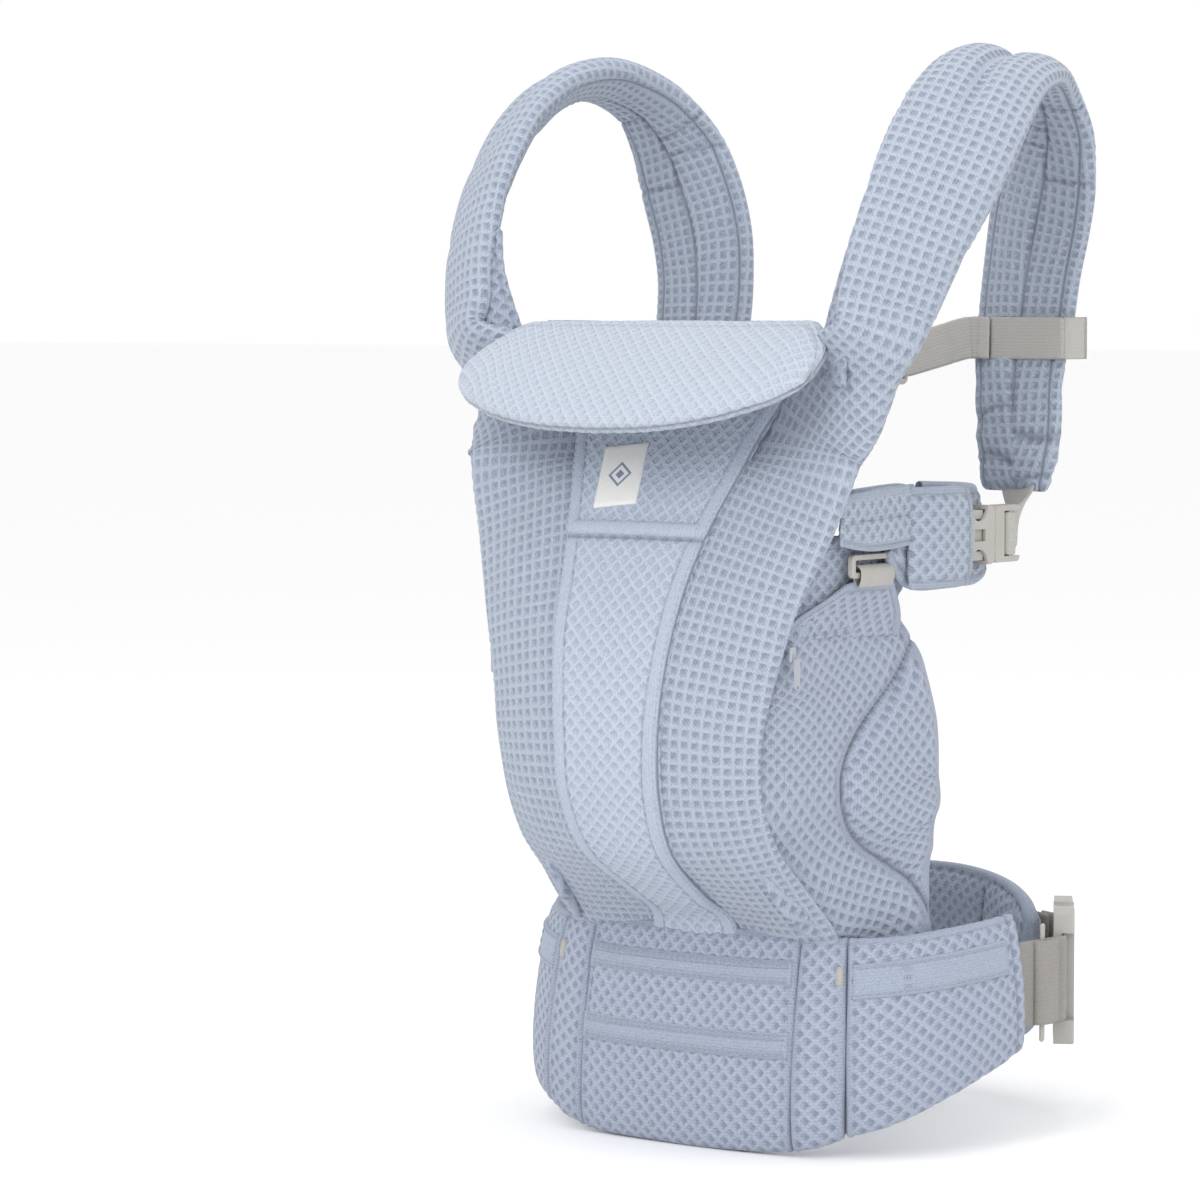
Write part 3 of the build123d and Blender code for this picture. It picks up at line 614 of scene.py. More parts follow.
# Outer band and shoulder strap, one padded piece from the belt over the shoulder
def harness():
    inner, outer, thick, shift, power = [], [], [], [], []
    band_thick = [7, 7, 7, 7.5, 8.5, 10, 11, 12, 14, 15.5]

    def row(*values):
        for table, value in zip((inner, outer, thick, shift, power), values):
            table.append(value)

    row((30, -68, 112), (93, -62, 113), 7, 3.5, 2.9)
    band_inner = [(130, -80, 30)] + PANEL_PROFILE[1:10]
    band_outer = [(131, 95, -78)] + BAND_EDGE[1:10]
    for (h, d, w), (eh, ex, ey), t in zip(band_inner, band_outer, band_thick):
        row((w - 3.6, d + 2.6, h), (ex, ey, eh), t, t / 2, 2.9)
    for i, o, t in (((60, -98.5, 413), (139, -115, 411), 16.5), ((80, -103, 437), (151, -107, 434), 17.5)):
        row(i, o, t, t / 2 - (1.0 if t > 17 else 0), 2.7)
    strap_end = [((90, 85, 404), (147, 83, 408), 14), ((95, 82, 369), (141, 80, 381), 13.5)]
    for k, (i, o, t) in enumerate(STRAP_EDGES[1:-2] + strap_end):
        row(i, o, t + 1.5, (4.0, 1.0)[k] if k < 2 else 0.0, 2.5)
    s = Skin(inner, outer, thick, power, 1.55, shift, caps=(3.0, 9.0))
    u, v = s.u, s.v
    length = s.run[-1]
    third = len(s.run) // 3
    start_strap = float(np.interp(440, s.centre[:third, 2], s.run[:third]))
    on_band = 1 - smoothstep(u, start_strap - 45, start_strap + 5)
    # soft crown on the band
    middle = s.edge_in / (s.edge_in + s.edge_out)
    s.h += 2.2 * s.front * bump(middle, 0.58, 0.30) * on_band
    # rear half of the strap: a valley over the crown, then the lapped fold of the lining side
    z = s.centre[:, 2]
    crown = s.run[int(np.argmax(z))]
    ridge = s.front * smoothstep(u, crown - 115, crown - 45) * (1 - smoothstep(u, crown + 120, crown + 190))
    s.h -= 4.2 * ridge * bump(v + 0.06 * (u - crown), -4, 4.6)
    s.h += 1.4 * ridge * (bump(v, 14, 9) + bump(v, -20, 8))
    rear_face = (1 - s.front) * smoothstep(u, start_strap, start_strap + 20)
    # seam between the outer mesh and the lining, along both edges of the strap
    side = smoothstep(u, start_strap + 10, start_strap + 40)
    half_way = np.abs(s.v) / s.around[:, None]
    lining_seam = (half_way - 0.315) * s.around[:, None]
    s.seam(lining_seam, 1.3, 1.3, side, 0.8)
    s.plain = np.maximum(s.plain, 0.85 * bump(lining_seam, 0, 2.0) * side)
    wrap = np.where(v > 0, v - s.around[:, None] / 2, v + s.around[:, None] / 2)
    fold = wrap + 5.0 - 0.02 * (u - crown)
    leg = (1 - s.front) * smoothstep(u, crown - 130, crown - 60) * (1 - smoothstep(tail_start(s), 0, 30))
    s.seam(fold, 1.6, 1.3, leg, 0.9)
    s.h += 1.6 * leg * smoothstep(fold, 0.5, 4) * (1 - smoothstep(fold, 12, 26))
    # cross seams and soft wrinkles where the strap bends
    for offset, slant in ((-14, 0.18), (22, -0.15)):
        s.seam(u - (crown + 70 + offset) + slant * v, 1.6, 1.2, rear_face, 0.6)
    for place, strength in ((crown - 150, 0.7), (crown - 95, 0.6), (crown + 215, 0.8), (crown + 238, 0.6)):
        s.h -= strength * bump(u - place + 0.25 * v, 0, 6)
    # gathered lower end, with painted shade in its folds
    tail = length - u
    for place, lean, deep in ((12, 0.10, 1.5), (25, -0.12, 1.9), (39, 0.16, 1.2)):
        fold = tail + lean * v + 1.6 * np.sin(v / 6.0 + place)
        s.h -= deep * bump(fold, place, 2.6) * (0.35 + 0.65 * smoothstep(nearest(s.edge_in, s.edge_out), 1, 9))
        s.painted_shade = np.maximum(s.painted_shade, 0.5 * bump(fold, place, 1.6))
    s.h += 0.8 * bump(tail, 19, 4) + 0.8 * bump(tail, 32, 4)
    # slow hand of the cloth
    s.h += 0.45 * np.sin(u / 23.0 + 1.3 * np.sin(v / 31.0)) * np.sin(v / 17.0 + u / 61.0)
    return s.finish(0.62, turn=45.0)


band_skin = harness()
for side_name, flip in SIDES:
    piece = skin_object(f"band_and_strap_{side_name}", band_skin, outer_mesh, flip)
    settle(piece, "carrier", [f"panel_band_{side_name}", f"shoulder_strap_{side_name}"])

# Centre panel
def centre():
    bottom = [(112, -77, 33), (131, -79, 31)]
    top = [(434, -97, 79), (455, -95.5, 90), (464, -95, 95), (470, -94.8, 97), (474.5, -94.5, 97)]
    rows = bottom + PANEL_PROFILE[1:-2] + top
    inner = [(-w + 0.6, d, h) for h, d, w in rows]
    outer = [(w - 0.6, d, h) for h, d, w in rows]
    s = Skin(inner, outer, [7.0] * len(rows), 4.5, 1.6, [3.5] * len(rows), caps=(2.0, 2.0))
    z = np.repeat(s.centre[:, 2:3], s.P.shape[1], axis=1)
    near = np.minimum(s.edge_in, s.edge_out)
    low = 1 - smoothstep(z, 345, 356)
    s.plain = s.front * (1 - smoothstep(near, 9.0, 11))
    s.seam(near - 10.2, 1.1, 0.5, s.front, 0.35)
    s.h += 0.35 * s.front * bump(near, 5.5, 4.0)
    s.seam(near, 1.4, 1.2, s.front, 1.0)
    s.h += 1.4 * s.front * bump((s.edge_in - s.edge_out) / (s.edge_in + s.edge_out), 0, 0.55) * low
    # furrow under the pocket welt, darkened with painted shade
    s.h -= 1.6 * s.front * bump(z, 351.0, 1.6)
    s.painted_shade = np.maximum(s.painted_shade, 0.9 * s.front * bump(z, 351.2, 1.2))
    s.h += 0.9 * s.front * bump(z, 357, 4.5)
    s.h += 0.35 * np.sin(s.u / 29.0) * np.sin(s.v / 19.0 + s.u / 57.0)
    return s.finish(0.42)


centre_skin = centre()
piece = skin_object("centre_panel", centre_skin, panel_mesh)
settle(piece, "carrier", ["center_panel"])
us = np.linspace(8, centre_skin.run[-1] - 10, 90)
widths = np.interp(us, centre_skin.run, centre_skin.width)
runs = [seam_run(centre_skin, us, sign * (widths / 2 - inset), 220) for sign in (-1, 1) for inset in (10.2, 2.6)]
piece = stitches("panel_seam_stitches", runs, thread)
settle(piece, "carrier")


def panel_u(z):
    return float(np.interp(z, centre_skin.centre[:, 2], centre_skin.run))


half = 43.0
piece = laid("pocket_welt_strip", centre_skin, (panel_u(352.5), panel_u(359.5)), (-half, half), panel_mesh, 1.1)
settle(piece, "carrier", ["pocket_welt"])
label_u = panel_u(385)
LABEL_V = -21.0
piece = laid("woven_label", centre_skin, (label_u - 19.5, label_u + 19.5), (LABEL_V - 14.5, LABEL_V + 14.5),
             label_material, 0.9, rim=0.3, turn=math.radians(-7))
layer = piece.data.uv_layers[0].data
flat = np.zeros(len(layer) * 2, np.float32)
layer.foreach_get("uv", flat)
flat = flat.reshape(-1, 2) - np.array([label_u * MM, LABEL_V * MM], np.float32)
layer.foreach_set("uv", flat.ravel())
settle(piece, "carrier", ["label"])


# Headrest pillow, folded forward over the panel
def headrest():
    down = np.array([0, -math.cos(HEADREST_SLOPE), -math.sin(HEADREST_SLOPE)])
    up = np.array([0, -math.sin(HEADREST_SLOPE), math.cos(HEADREST_SLOPE)])
    xs = 120.6 * np.sin(np.linspace(-np.pi / 2 * 0.985, np.pi / 2 * 0.985, 61))

    def smooth_curve(px, py):
        pts = np.column_stack([px, py])
        c = catmull(pts, np.linspace(0, len(pts) - 1, 300))
        return c[:, 0], c[:, 1]

    fx, fy = smooth_curve([0, 34, 58, 79, 92, 105, 113, 119, 121],
                          [-100, -98.3, -94, -87.5, -81, -73.5, -66, -58, -50])
    rx, ry = smooth_curve([0, 50, 85, 100, 111, 116.5, 119.5, 121], [-1, -1, -1, -2, -13, -22, -32, -50])
    inner, outer, thick = [], [], []
    for x in xs:
        a = np.interp(abs(x), rx, ry)
        b = np.interp(abs(x), fx, fy)
        if a - b < 6:
            m = (a + b) / 2
            a, b = m + 3, m - 3
        rim = math.sqrt(max(0.06, 1 - (abs(x) / 122.0) ** 9))
        base = np.array([x, HEADREST_PIVOT[1], HEADREST_PIVOT[2]])
        lower = -7.5
        inner.append(base - down * a + up * lower)
        outer.append(base - down * b + up * lower)
        thick.append(HEADREST_THICK * rim * 0.98)
    s = Skin(inner, outer, thick, 2.9, 1.6, None, (0, 0), (1, 0, 0))
    # welted seam round the rim, a little below the middle of its thickness; painted shade darkens it, and more faintly
    # a low ridge below it
    turned = s.y / np.maximum(s.thick[:, None] / 2, 1e-6)
    rim_front = bump(turned, -0.02, 0.15) * (np.abs(s.x) > 0.8 * s.width[:, None] / 2)
    s.h -= 1.5 * rim_front
    s.painted_shade = np.maximum(s.painted_shade, 0.75 * rim_front)
    rim_low = bump(turned, -0.55, 0.35) * (np.abs(s.x) > 0.75 * s.width[:, None] / 2)
    s.h += 0.3 * rim_low
    s.painted_shade = np.maximum(s.painted_shade, 0.30 * rim_low)
    top = s.front
    s.h += 1.8 * top * bump(s.x / s.width[:, None], 0.05, 0.42)
    s.seam(s.edge_in - 9, 1.6, 0.7, top, 0.3)
    s.h += 0.5 * np.sin(s.u / 33.0 + 0.6) * np.sin(s.v / 21.0 + s.u / 71.0)
    return s.finish(0.42, 6.0)


head_skin = headrest()
piece = skin_object("headrest_pillow", head_skin, head_mesh)
settle(piece, "headrest", ["headrest_pad", "headrest_lining"])


# Cloth hinge from the panel's top edge to the back edge of the headrest
hinge_x = (-96, 0, 96)
hinge = Skin([(x, -92, 463) for x in hinge_x], [(x, -96.3, 474) for x in hinge_x], [2.4] * 3, 3.0, SKIN_STEP, None,
             (1, 1), (1, 0, 0))
hinge.plain[:] = 1
hinge.finish(0)
piece = skin_object("headrest_hinge_cloth", hinge, head_mesh)
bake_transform(piece)


# Hip belt sections
def belt(stations):
    inner, outer, thick = [], [], []
    for row in stations:
        x, y, facing, low, high = row[:5]
        t = row[5] if len(row) > 5 else BELT_THICK
        out = np.array([math.cos(math.radians(facing)), math.sin(math.radians(facing)), 0])
        lean = math.radians(BELT_LEAN)
        upw = np.array([0, 0, math.cos(lean)]) - out * math.sin(lean)
        centre_point = np.array([x, y, (low + high) / 2]) - out * (t / 2)
        halfh = (high - low) / math.cos(lean) / 2
        inner.append(centre_point + upw * halfh)
        outer.append(centre_point - upw * halfh)
        thick.append(t)
    return Skin(inner, outer, thick, 3.3, 1.6, None, caps=(3.0, 3.0), axis=(1, 1, 0))


def dress_belt(s, ends):
    """Piped seams at the ends and a folded top edge."""
    for at_start in ends:
        d = s.u if at_start else s.run[-1] - s.u
        s.seam(d - 5.5, 1.1, 0.5, 1.0, 0.3)
        s.h += 0.3 * bump(d, 3.2, 2.2)
        s.plain = np.maximum(s.plain, 0.8 * (1 - smoothstep(d, 3.0, 5.0)))
    s.seam(s.edge_in - 3.5, 1.1, 0.6, s.front, 0.3)
    s.plain = np.maximum(s.plain, 0.8 * s.front * (1 - smoothstep(s.edge_in, 3.0, 5)))
    tall = s.edge_in / (s.edge_in + s.edge_out)
    s.h += 1.5 * s.front * bump(tall, 0.55, 0.33)
    s.h += 0.5 * np.sin(s.u / 19.0 + 0.4) * np.sin(s.v / 27.0 + s.u / 43.0)


centre_belt = belt([
    (-74.2, -82.9, -97, 2.6, 127), (-58, -84.9, -95, 1.0, 127), (-40, -86.5, -93, 0.3, 127), (0, -87.5, -90, 0.0, 127),
    (40, -86.5, -87, 0.3, 127), (58, -84.9, -85, 1.0, 127), (74.2, -82.9, -83, 2.6, 127)])
dress_belt(centre_belt, (True, False))
centre_belt.finish(0.62)
piece = skin_object("belt_middle", centre_belt, belt_mesh)
settle(piece, "carrier", ["belt_center"])

side_belt = belt([
    (73.6, -82.8, -82.3, 2.7, 127), (82, -81.4, -79.5, 4.5, 126.6), (90, -79.5, -76, 6.5, 126),
    (104.4, -74.1, -65.5, 12.2, 125)])
dress_belt(side_belt, (True, False))
side_belt.finish(0.62)
wing_belt = belt([
    (103.6, -74.6, -65, 12.3, 125, 19), (126, -58, -48, 20, 126, 18), (144, -33, -27, 32, 128, 17),
    (155, -3, -14, 45, 131, 15), (160, 27, -5, 56, 134, 13)])
dress_belt(wing_belt, (True,))
wing_belt.seam(wing_belt.run[-1] - wing_belt.u - 8, 1.5, 0.9, 1.0, 0.5)
wing_belt.finish(0.62)
for side_name, flip in SIDES:
    for key, s in (("side", side_belt), ("wing", wing_belt)):
        piece = skin_object(f"belt_{key}_cushion_{side_name}", s, belt_mesh, flip)
        settle(piece, "carrier", [f"belt_{key}_{side_name}"])


def belt_v(s, z, row=None):
    """v of a height on the outer face, at the skin's middle row."""
    r = len(s.run) // 2 if row is None else row
    m = s.P.shape[1]
    lo, hi = int(m * 0.30), int(m * 0.70)
    order = -1 if s.P[r, lo, 2] > s.P[r, hi, 2] else 1
    return float(np.interp(z, s.P[r, lo:hi, 2][::order], s.v[r, lo:hi][::order]))


# Sewn patch on the middle of the belt: two folded tapes with open mesh between them
mid = centre_belt.run[-1] / 2
lo_v, hi_v = sorted((belt_v(centre_belt, 109), belt_v(centre_belt, 57)))
piece = laid("belt_patch_cloth", centre_belt, (mid - 69, mid + 69), (lo_v, hi_v), belt_mesh, 1.0,
             plain=lambda U, V: np.zeros_like(U))
settle(piece, "carrier", ["belt_patch"])
tape_runs = []
for key, z0, z1 in (("upper", 96, 110), ("lower", 55, 70)):
    va, vb = sorted((belt_v(centre_belt, z0), belt_v(centre_belt, z1)))
    piece = laid(f"belt_patch_tape_{key}", centre_belt, (mid - 70, mid + 70), (va, vb), tape, 1.7,
                 rows=(1.8, 4.2, vb - va - 1.8))
    settle(piece, "carrier")
    for inset in (1.8, 4.0):
        for vv in (va + inset, vb - inset):
            if key == "upper" and vv > vb - 3 and inset > 2:
                continue
            tape_runs.append(seam_run(centre_belt, [mid - 69, mid + 69], [vv, vv], 160, 2.0))
for uu in (-68.3, 68.3):
    tape_runs.append(seam_run(centre_belt, [mid + uu, mid + uu], [lo_v, hi_v], 60, 1.2))
piece = stitches("belt_patch_stitches", tape_runs, thread)
settle(piece, "carrier")

# Long pocket strip on each wing, with a bar tack
def level(u):
    """Keeps a height constant along the wing, whose middle rises towards the back."""
    middle = np.interp(u, wing_belt.run, wing_belt.centre[:, 2])
    return middle - wing_belt.centre[0, 2] - 0.10 * u


for side_name, flip in SIDES:
    va, vb = sorted((belt_v(wing_belt, 92, 4), belt_v(wing_belt, 111, 4)))
    end_u = wing_belt.run[-1] - 14
    piece = laid(f"wing_strip_{side_name}", wing_belt, (4.0, end_u), (va, vb), tape, 1.5, mirror=flip, drift=level,
                 rows=(2.0, vb - va - 2.0))
    settle(piece, "carrier")
    us = np.linspace(5, end_u - 1, 60)
    runs = [seam_run(wing_belt, us, vv + level(us), 120, 1.6) for vv in (va + 2, vb - 2)]
    runs += [seam_run(wing_belt, [uu, uu], [va + 2 + level(uu), vb - 2 + level(uu)], 20, 1.7)
             for uu in (32, 33.6, 35.2)]
    piece = stitches(f"wing_strip_stitches_{side_name}", runs, thread, flip)
    settle(piece, "carrier")
    # small grey tab in the second seam
    v0 = belt_v(side_belt, 103, len(side_belt.run) - 8)
    piece = laid(f"seam_tab_{side_name}", side_belt, (side_belt.run[-1] - 6, side_belt.run[-1] - 2.5), (v0 - 5, v0 + 5),
                 grey_web, 1.6, mirror=flip)
    settle(piece, "carrier")


# Seat side: smooth-edged wing with a puffed thigh pad behind a curved seam
def seat_side():
    inner, outer, thick = [], [], []
    levels = [(112, (97, -50), (124, -16))] + WING_LEVELS
    for h, f, r in levels:
        tuck = float(1 - smoothstep(h, 178, 206))
        inner.append((f[0] + 1.0 - 8.0 * tuck, f[1] - 4 + 3.0 * tuck, h))
        outer.append((r[0], r[1], h))
        thick.append(9.0)
    s = Skin(inner, outer, thick, 3.2, 1.6, [4.0] * len(thick), caps=(2.0, 3.0))
    z = np.repeat(s.centre[:, 2:3], s.P.shape[1], axis=1)
    share = s.edge_in / (s.edge_in + s.edge_out)
    seam = 0.44 + 0.56 * np.where(z > 213, ((z - 213) / 68.0) ** 2, ((z - 213) / 84.0) ** 2)
    gap = (share - seam) * s.width[:, None]
    inside = smoothstep(gap, -1.0, 22.0) * s.front * (seam < 1.0)
    rear = smoothstep(s.edge_out, 0, 14)
    s.h += (9.0 * inside ** 0.6 * (0.25 + 0.75 * rear)) * (1 - smoothstep(np.abs(z - 213), 70, 95))
    s.h += 2.0 * s.front * bump(share, 0.2, 0.22)
    s.seam(gap, 1.7, 2.2, s.front * (seam < 1.04), 1.0)
    s.seam(gap + 5.0, 1.2, 0.6, s.front * (seam < 1.02), 0.35)
    s.plain = np.maximum(s.plain, s.front * bump(gap + 2.4, 0, 3.2) * (seam < 1.04))
    top = s.run[-1] - s.u
    border = np.minimum(np.minimum(s.edge_out, 60.0), top)
    s.plain = np.maximum(s.plain, s.front * (1 - smoothstep(border, 6.0, 8.0)))
    s.seam(border - 8.0, 1.3, 0.7, s.front * smoothstep(z, 240, 285), 0.4)
    s.plain = np.maximum(s.plain, s.front * smoothstep(z, 309, 314))
    s.h += 0.7 * np.sin(s.u / 21.0 + 1.0) * np.sin(s.v / 15.0 + s.u / 37.0)
    return s.finish(0.5, 6.2)


seat_skin = seat_side()
for side_name, flip in SIDES:
    piece = skin_object(f"seat_side_{side_name}", seat_skin, seat_mesh, flip)
    settle(piece, "carrier", [f"seat_wing_{side_name}", f"thigh_pad_{side_name}"])


# Side band to the shoulder buckle: lower layer, upper flap and padded sleeve
def slab(rows, thick, x, power=4.0):
    inner = [(x, y, top) for y, top, low in rows]
    outer = [(x, y, low) for y, top, low in rows]
    return Skin(inner, outer, thick, power, SKIN_STEP, None, (2.0, 2.0))


lower_layer = slab([(-104, 379, 353), (-96, 381, 348), (-72, 382.5, 347), (-50, 383.5, 345), (-40, 384, 328),
                    (-30, 384, 322),
                    (-5, 383, 321.5), (15, 382, 322), (30, 380, 323), (38, 375, 330)], [6.6] * 10, 122.2)
lower_layer.seam(lower_layer.edge_in - 5, 1.2, 0.7, 1.0, 0.4)
lower_layer.seam(lower_layer.edge_out - 5, 1.2, 0.7, 1.0, 0.4)
lower_layer.plain = 1 - smoothstep(np.minimum(lower_layer.edge_in, lower_layer.edge_out), 4, 7)
lower_layer.finish(0.45)
flap = Skin([(125.6, -112, 378), (126.6, -90, 380.5), (126.8, -70, 382), (127.4, -40, 383)],
            [(125.6, -112, 350), (126.8, -90, 346.6), (127.6, -70, 346.4), (128.4, -40, 349)],
            [3.2] * 4, 4.0, 1.5, None, (1.5, 1.5))
flap.seam(flap.edge_in - 17, 1.2, 0.7, flap.front, 0.5)
flap.seam(flap.edge_out - 3.2, 1.2, 0.6, flap.front, 0.5)
flap.seam(flap.run[-1] - flap.u - 4, 1.2, 0.6, flap.front, 0.5)
flap.plain = flap.front * (1 - smoothstep(np.minimum(flap.edge_in, flap.edge_out), 4, 6.5))
flap.finish(0.45)
sleeve = slab([(-47.5, 381, 323), (-40, 381, 323), (-24, 381, 323), (-8, 381, 323), (1, 380, 324)],
              [4.6, 7.6, 13.2, 15.4, 15.8], 133.2, 3.2)
sleeve.P[:, :, 0] += np.interp(sleeve.P[:, :, 1], [-47.5, -40, -24, -8, 1], [-5.0, -3.4, -0.4, 0.3, 0.5])
sleeve.seam(sleeve.edge_in - 4.5, 1.2, 0.8, sleeve.front, 0.5)
sleeve.seam(sleeve.edge_out - 4.5, 1.2, 0.8, sleeve.front, 0.5)
sleeve.seam(sleeve.run[-1] - sleeve.u - 5, 1.2, 0.7, sleeve.front, 0.5)
sleeve.plain = 1 - smoothstep(nearest(sleeve.edge_in, sleeve.edge_out, sleeve.run[-1] - sleeve.u), 3.5, 6)
sleeve.finish(0.55)
hook_back = Skin([(101.0, -123, 352), (112.5, -114, 355), (116.5, -98, 356), (117.5, -60, 356), (117.5, -36, 356)],
                 [(92.5, -127, 296), (101.0, -114, 297), (106.5, -98, 298), (110.0, -60, 304), (112.5, -36, 322)],
                 [2.6] * 5, 4.0, SKIN_STEP, None, (1.5, 1.5))
hook_back.seam(hook_back.edge_out - 4, 1.2, 0.6, 1.0, 0.4)
hook_back.finish(0.4)
seat_top = Skin([(96.0, -136, 296), (105.0, -124, 309), (115.5, -108, 320), (121.5, -94, 329)],
                [(114.5, -34, 296), (118.5, -38, 309), (122.0, -47, 320), (124.6, -55, 329)],
                [5.0] * 4, 4.0, 1.5, [2.5] * 4, (1.5, 1.6), (0, 0, 1))
rim = nearest(seat_top.edge_in, seat_top.edge_out, seat_top.run[-1] - seat_top.u)
seat_top.seam(rim - 6.5, 1.2, 0.6, seat_top.front, 0.45)
seat_top.plain = seat_top.front * (1 - smoothstep(rim, 6.0, 7.5))
seat_top.finish(0.45)
SIDE_LAYERS = (
    ("hook_backing", hook_back, None, seat_mesh),
    ("seat_top", seat_top, None, seat_mesh),
    ("side_band_layer", lower_layer, "side_band", outer_mesh),
    ("side_band_flap", flap, None, outer_mesh),
    ("buckle_sleeve_pad", sleeve, "buckle_sleeve", outer_mesh),
)
for side_name, flip in SIDES:
    for key, s, node, cloth in SIDE_LAYERS:
        piece = skin_object(f"{key}_{side_name}", s, cloth, flip)
        settle(piece, "carrier", [f"{node}_{side_name}"] if node else ())

# Gusset between the headrest hinge and the strap
gusset = Skin([(96, -98, 440), (104, -99, 462), (112, -101, 484), (119, -101, 505), (124.5, -97, 526)],
              [(130, -114, 440), (130, -112, 462), (131, -108, 484), (131.5, -103, 505), (132, -97, 530)],
              [5] * 5, 3.0, 1.8, None, (2, 4))
gusset.seam(gusset.edge_in - 4, 1.2, 0.7, 1.0, 0.4)
gusset.finish(0.45)
for side_name, flip in SIDES:
    piece = skin_object(f"strap_gusset_cloth_{side_name}", gusset, lining_mesh, flip)
    settle(piece, "carrier", [f"strap_gusset_{side_name}"])


# Lumbar pad behind the waist, quilted across
def lumbar():
    inner, outer = [], []
    for turn, tall, middle in ((41, 62, 86), (50, 86, 87), (62, 99, 88), (76, 105, 89), (90, 106, 89), (104, 105, 89),
                               (118, 99, 88), (130, 86, 87), (139, 62, 86)):
        a = math.radians(turn)
        out = unit(np.array([math.cos(a) / LOOP[0], math.sin(a) / LOOP[1], 0]))
        c = np.array([LOOP[0] * math.cos(a), LOOP[2] + LOOP[1] * math.sin(a), middle]) - out * LUMBAR_THICK / 2
        inner.append(c + UP * tall / 2)
        outer.append(c - UP * tall / 2)
    s = Skin(inner, outer, [LUMBAR_THICK] * len(inner), 2.9, 1.6, None, (8.0, 8.0))
    border = nearest(s.edge_in, s.edge_out, s.end)
    s.seam(border - 4, 1.4, 0.9, 1.0, 0.5)
    s.plain = np.maximum(s.plain, 1 - smoothstep(border, 2.0, 4.0))
    for place in (0.25, 0.5, 0.75):
        s.seam(s.u - place * s.run[-1], 2.2, 1.6, smoothstep(border, 5, 12), 0.6)
    s.h += 2.0 * np.abs(np.sin(np.pi * s.u / s.run[-1] * 4)) * smoothstep(border, 3, 16)
    return s.finish(0.55)


lumbar_skin = lumbar()
piece = skin_object("lumbar_cushion", lumbar_skin, lining_mesh)
settle(piece, "carrier", ["lumbar_pad"])


# ---- webbing ------------------------------------------------------------------------------------
def ribbon(centres, across, width, thick, step=1.5, caps=(0.6, 0.6), power=7.0):
    centres = np.asarray(centres, float)
    across = unit(np.asarray(across, float))
    width = np.full(len(centres), width) if np.isscalar(width) else np.asarray(width, float)
    half = across * width[:, None] / 2
    return Skin(centres - half, centres + half, [thick] * len(centres), power, step, None, caps)


def place_web(name, s, body, nodes, material, mirror=False):
    s.plain[:] = 1
    s.finish(0)
    settle(skin_object(name, s, material, mirror), body, nodes)


DOWN = (0, 0, -1)
rear_points = [(-153.5, 29), (-150, 60), (-137, 99), (-109, 136), (-62, 163), (0, 173.5), (48, 170), (80, 161),
               (100, 150.5)]
s = ribbon([(x, y, WAIST_WEB_Z) for x, y in rear_points[::-1]], [DOWN] * 9, WAIST_WEB, WAIST_WEB_THICK)
place_web("waist_webbing_back", s, "carrier", ["waist_webbing_rear"], waist_web)
wdir = unit(np.array([-0.53, 0.848, 0]))
mouth = np.array([134, 112, WAIST_WEB_Z])
run_end, run_start = mouth - wdir * 36.5, mouth - wdir * 46.0
half_way = (run_start + np.array([156.2, 61, WAIST_WEB_Z])) / 2
s = ribbon([(153.5, 29, WAIST_WEB_Z), (153.9, 37, WAIST_WEB_Z), (155.2, 50, WAIST_WEB_Z), half_way, run_start, run_end],
           [DOWN] * 6, WAIST_WEB, WAIST_WEB_THICK)
place_web("waist_webbing_front", s, "carrier", ["waist_webbing_side"], waist_web)
plug_end = mouth + wdir * 22
s = ribbon([plug_end, (115.5, 144.2, WAIST_WEB_Z), (104, 155.2, WAIST_WEB_Z), (86, 164.8, WAIST_WEB_Z)],
           [DOWN] * 4, WAIST_WEB, WAIST_WEB_THICK)
place_web("waist_webbing_tail", s, "waist_plug", ["waist_webbing_loop"], waist_web)

# shoulder webbing: over the ladder lock's bar, then up with a quarter twist into the strap's end
twist = [((131.6, 45, 352), (0, 0, -1)), ((131.2, 51, 352), (0, 0, -1)), ((131.0, 57, 353.5), (-0.06, 0.1, -1)),
         ((130.2, 63, 357), (-0.25, 0.25, -0.95)), ((128.4, 69.5, 362.5), (-0.55, 0.35, -0.75)),
         ((125.5, 75, 369), (-0.85, 0.3, -0.45)), ((122.0, 79, 377), (-1, 0.1, -0.2)),
         ((119.5, 81.5, 387), (-1, 0, -0.05))]
wrapped = [(132.4, 48.6), (135.4, 48.4), (138.6, 47.2), (139.9, 44.6), (140.0, 42.4), (139.0, 39.8), (135.6, 38.8),
           (132.4, 38.6)]
for side_name, flip in SIDES:
    up_web = ribbon([c for c, a in twist], [a for c, a in twist], 24.5, WEB_THICK)
    up_web.plain[:] = 1
    up_web.finish(0)
    piece = skin_object(f"shoulder_web_{side_name}", up_web, grey_web, flip)
    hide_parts(f"shoulder_webbing_{side_name}")
    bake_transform(piece)
    bar_web = ribbon([(x, y, 352) for x, y in wrapped], [DOWN] * len(wrapped), 24.5, 1.5, 1.0)
    place_web(f"shoulder_web_bar_{side_name}", bar_web, f"shoulder_plug_{side_name}", [], grey_web, flip)

# doubled end of the waist webbing beside the buckle, with its keeper pin
doubled = [(155.0, 44.5), (157.6, 45.6), (159.6, 49.5), (160.4, 55.5), (159.8, 61.5), (157.2, 65.6), (153.8, 66.6)]
place_web("waist_web_doubled", ribbon([(x, y, WAIST_WEB_Z) for x, y in doubled], [DOWN] * len(doubled), 49.0, 2.6, 1.2),
          "carrier", [], waist_web)
pin = Skin([(156.4, 50, 57), (156.4, 50, 126)], [(156.4, 54, 57), (156.4, 54, 126)], [1.8, 1.8],
           4.0, 1.0, None, (0.8, 0.8))
place_web("waist_keeper_pin", pin, "carrier", [], buckle_plastic)


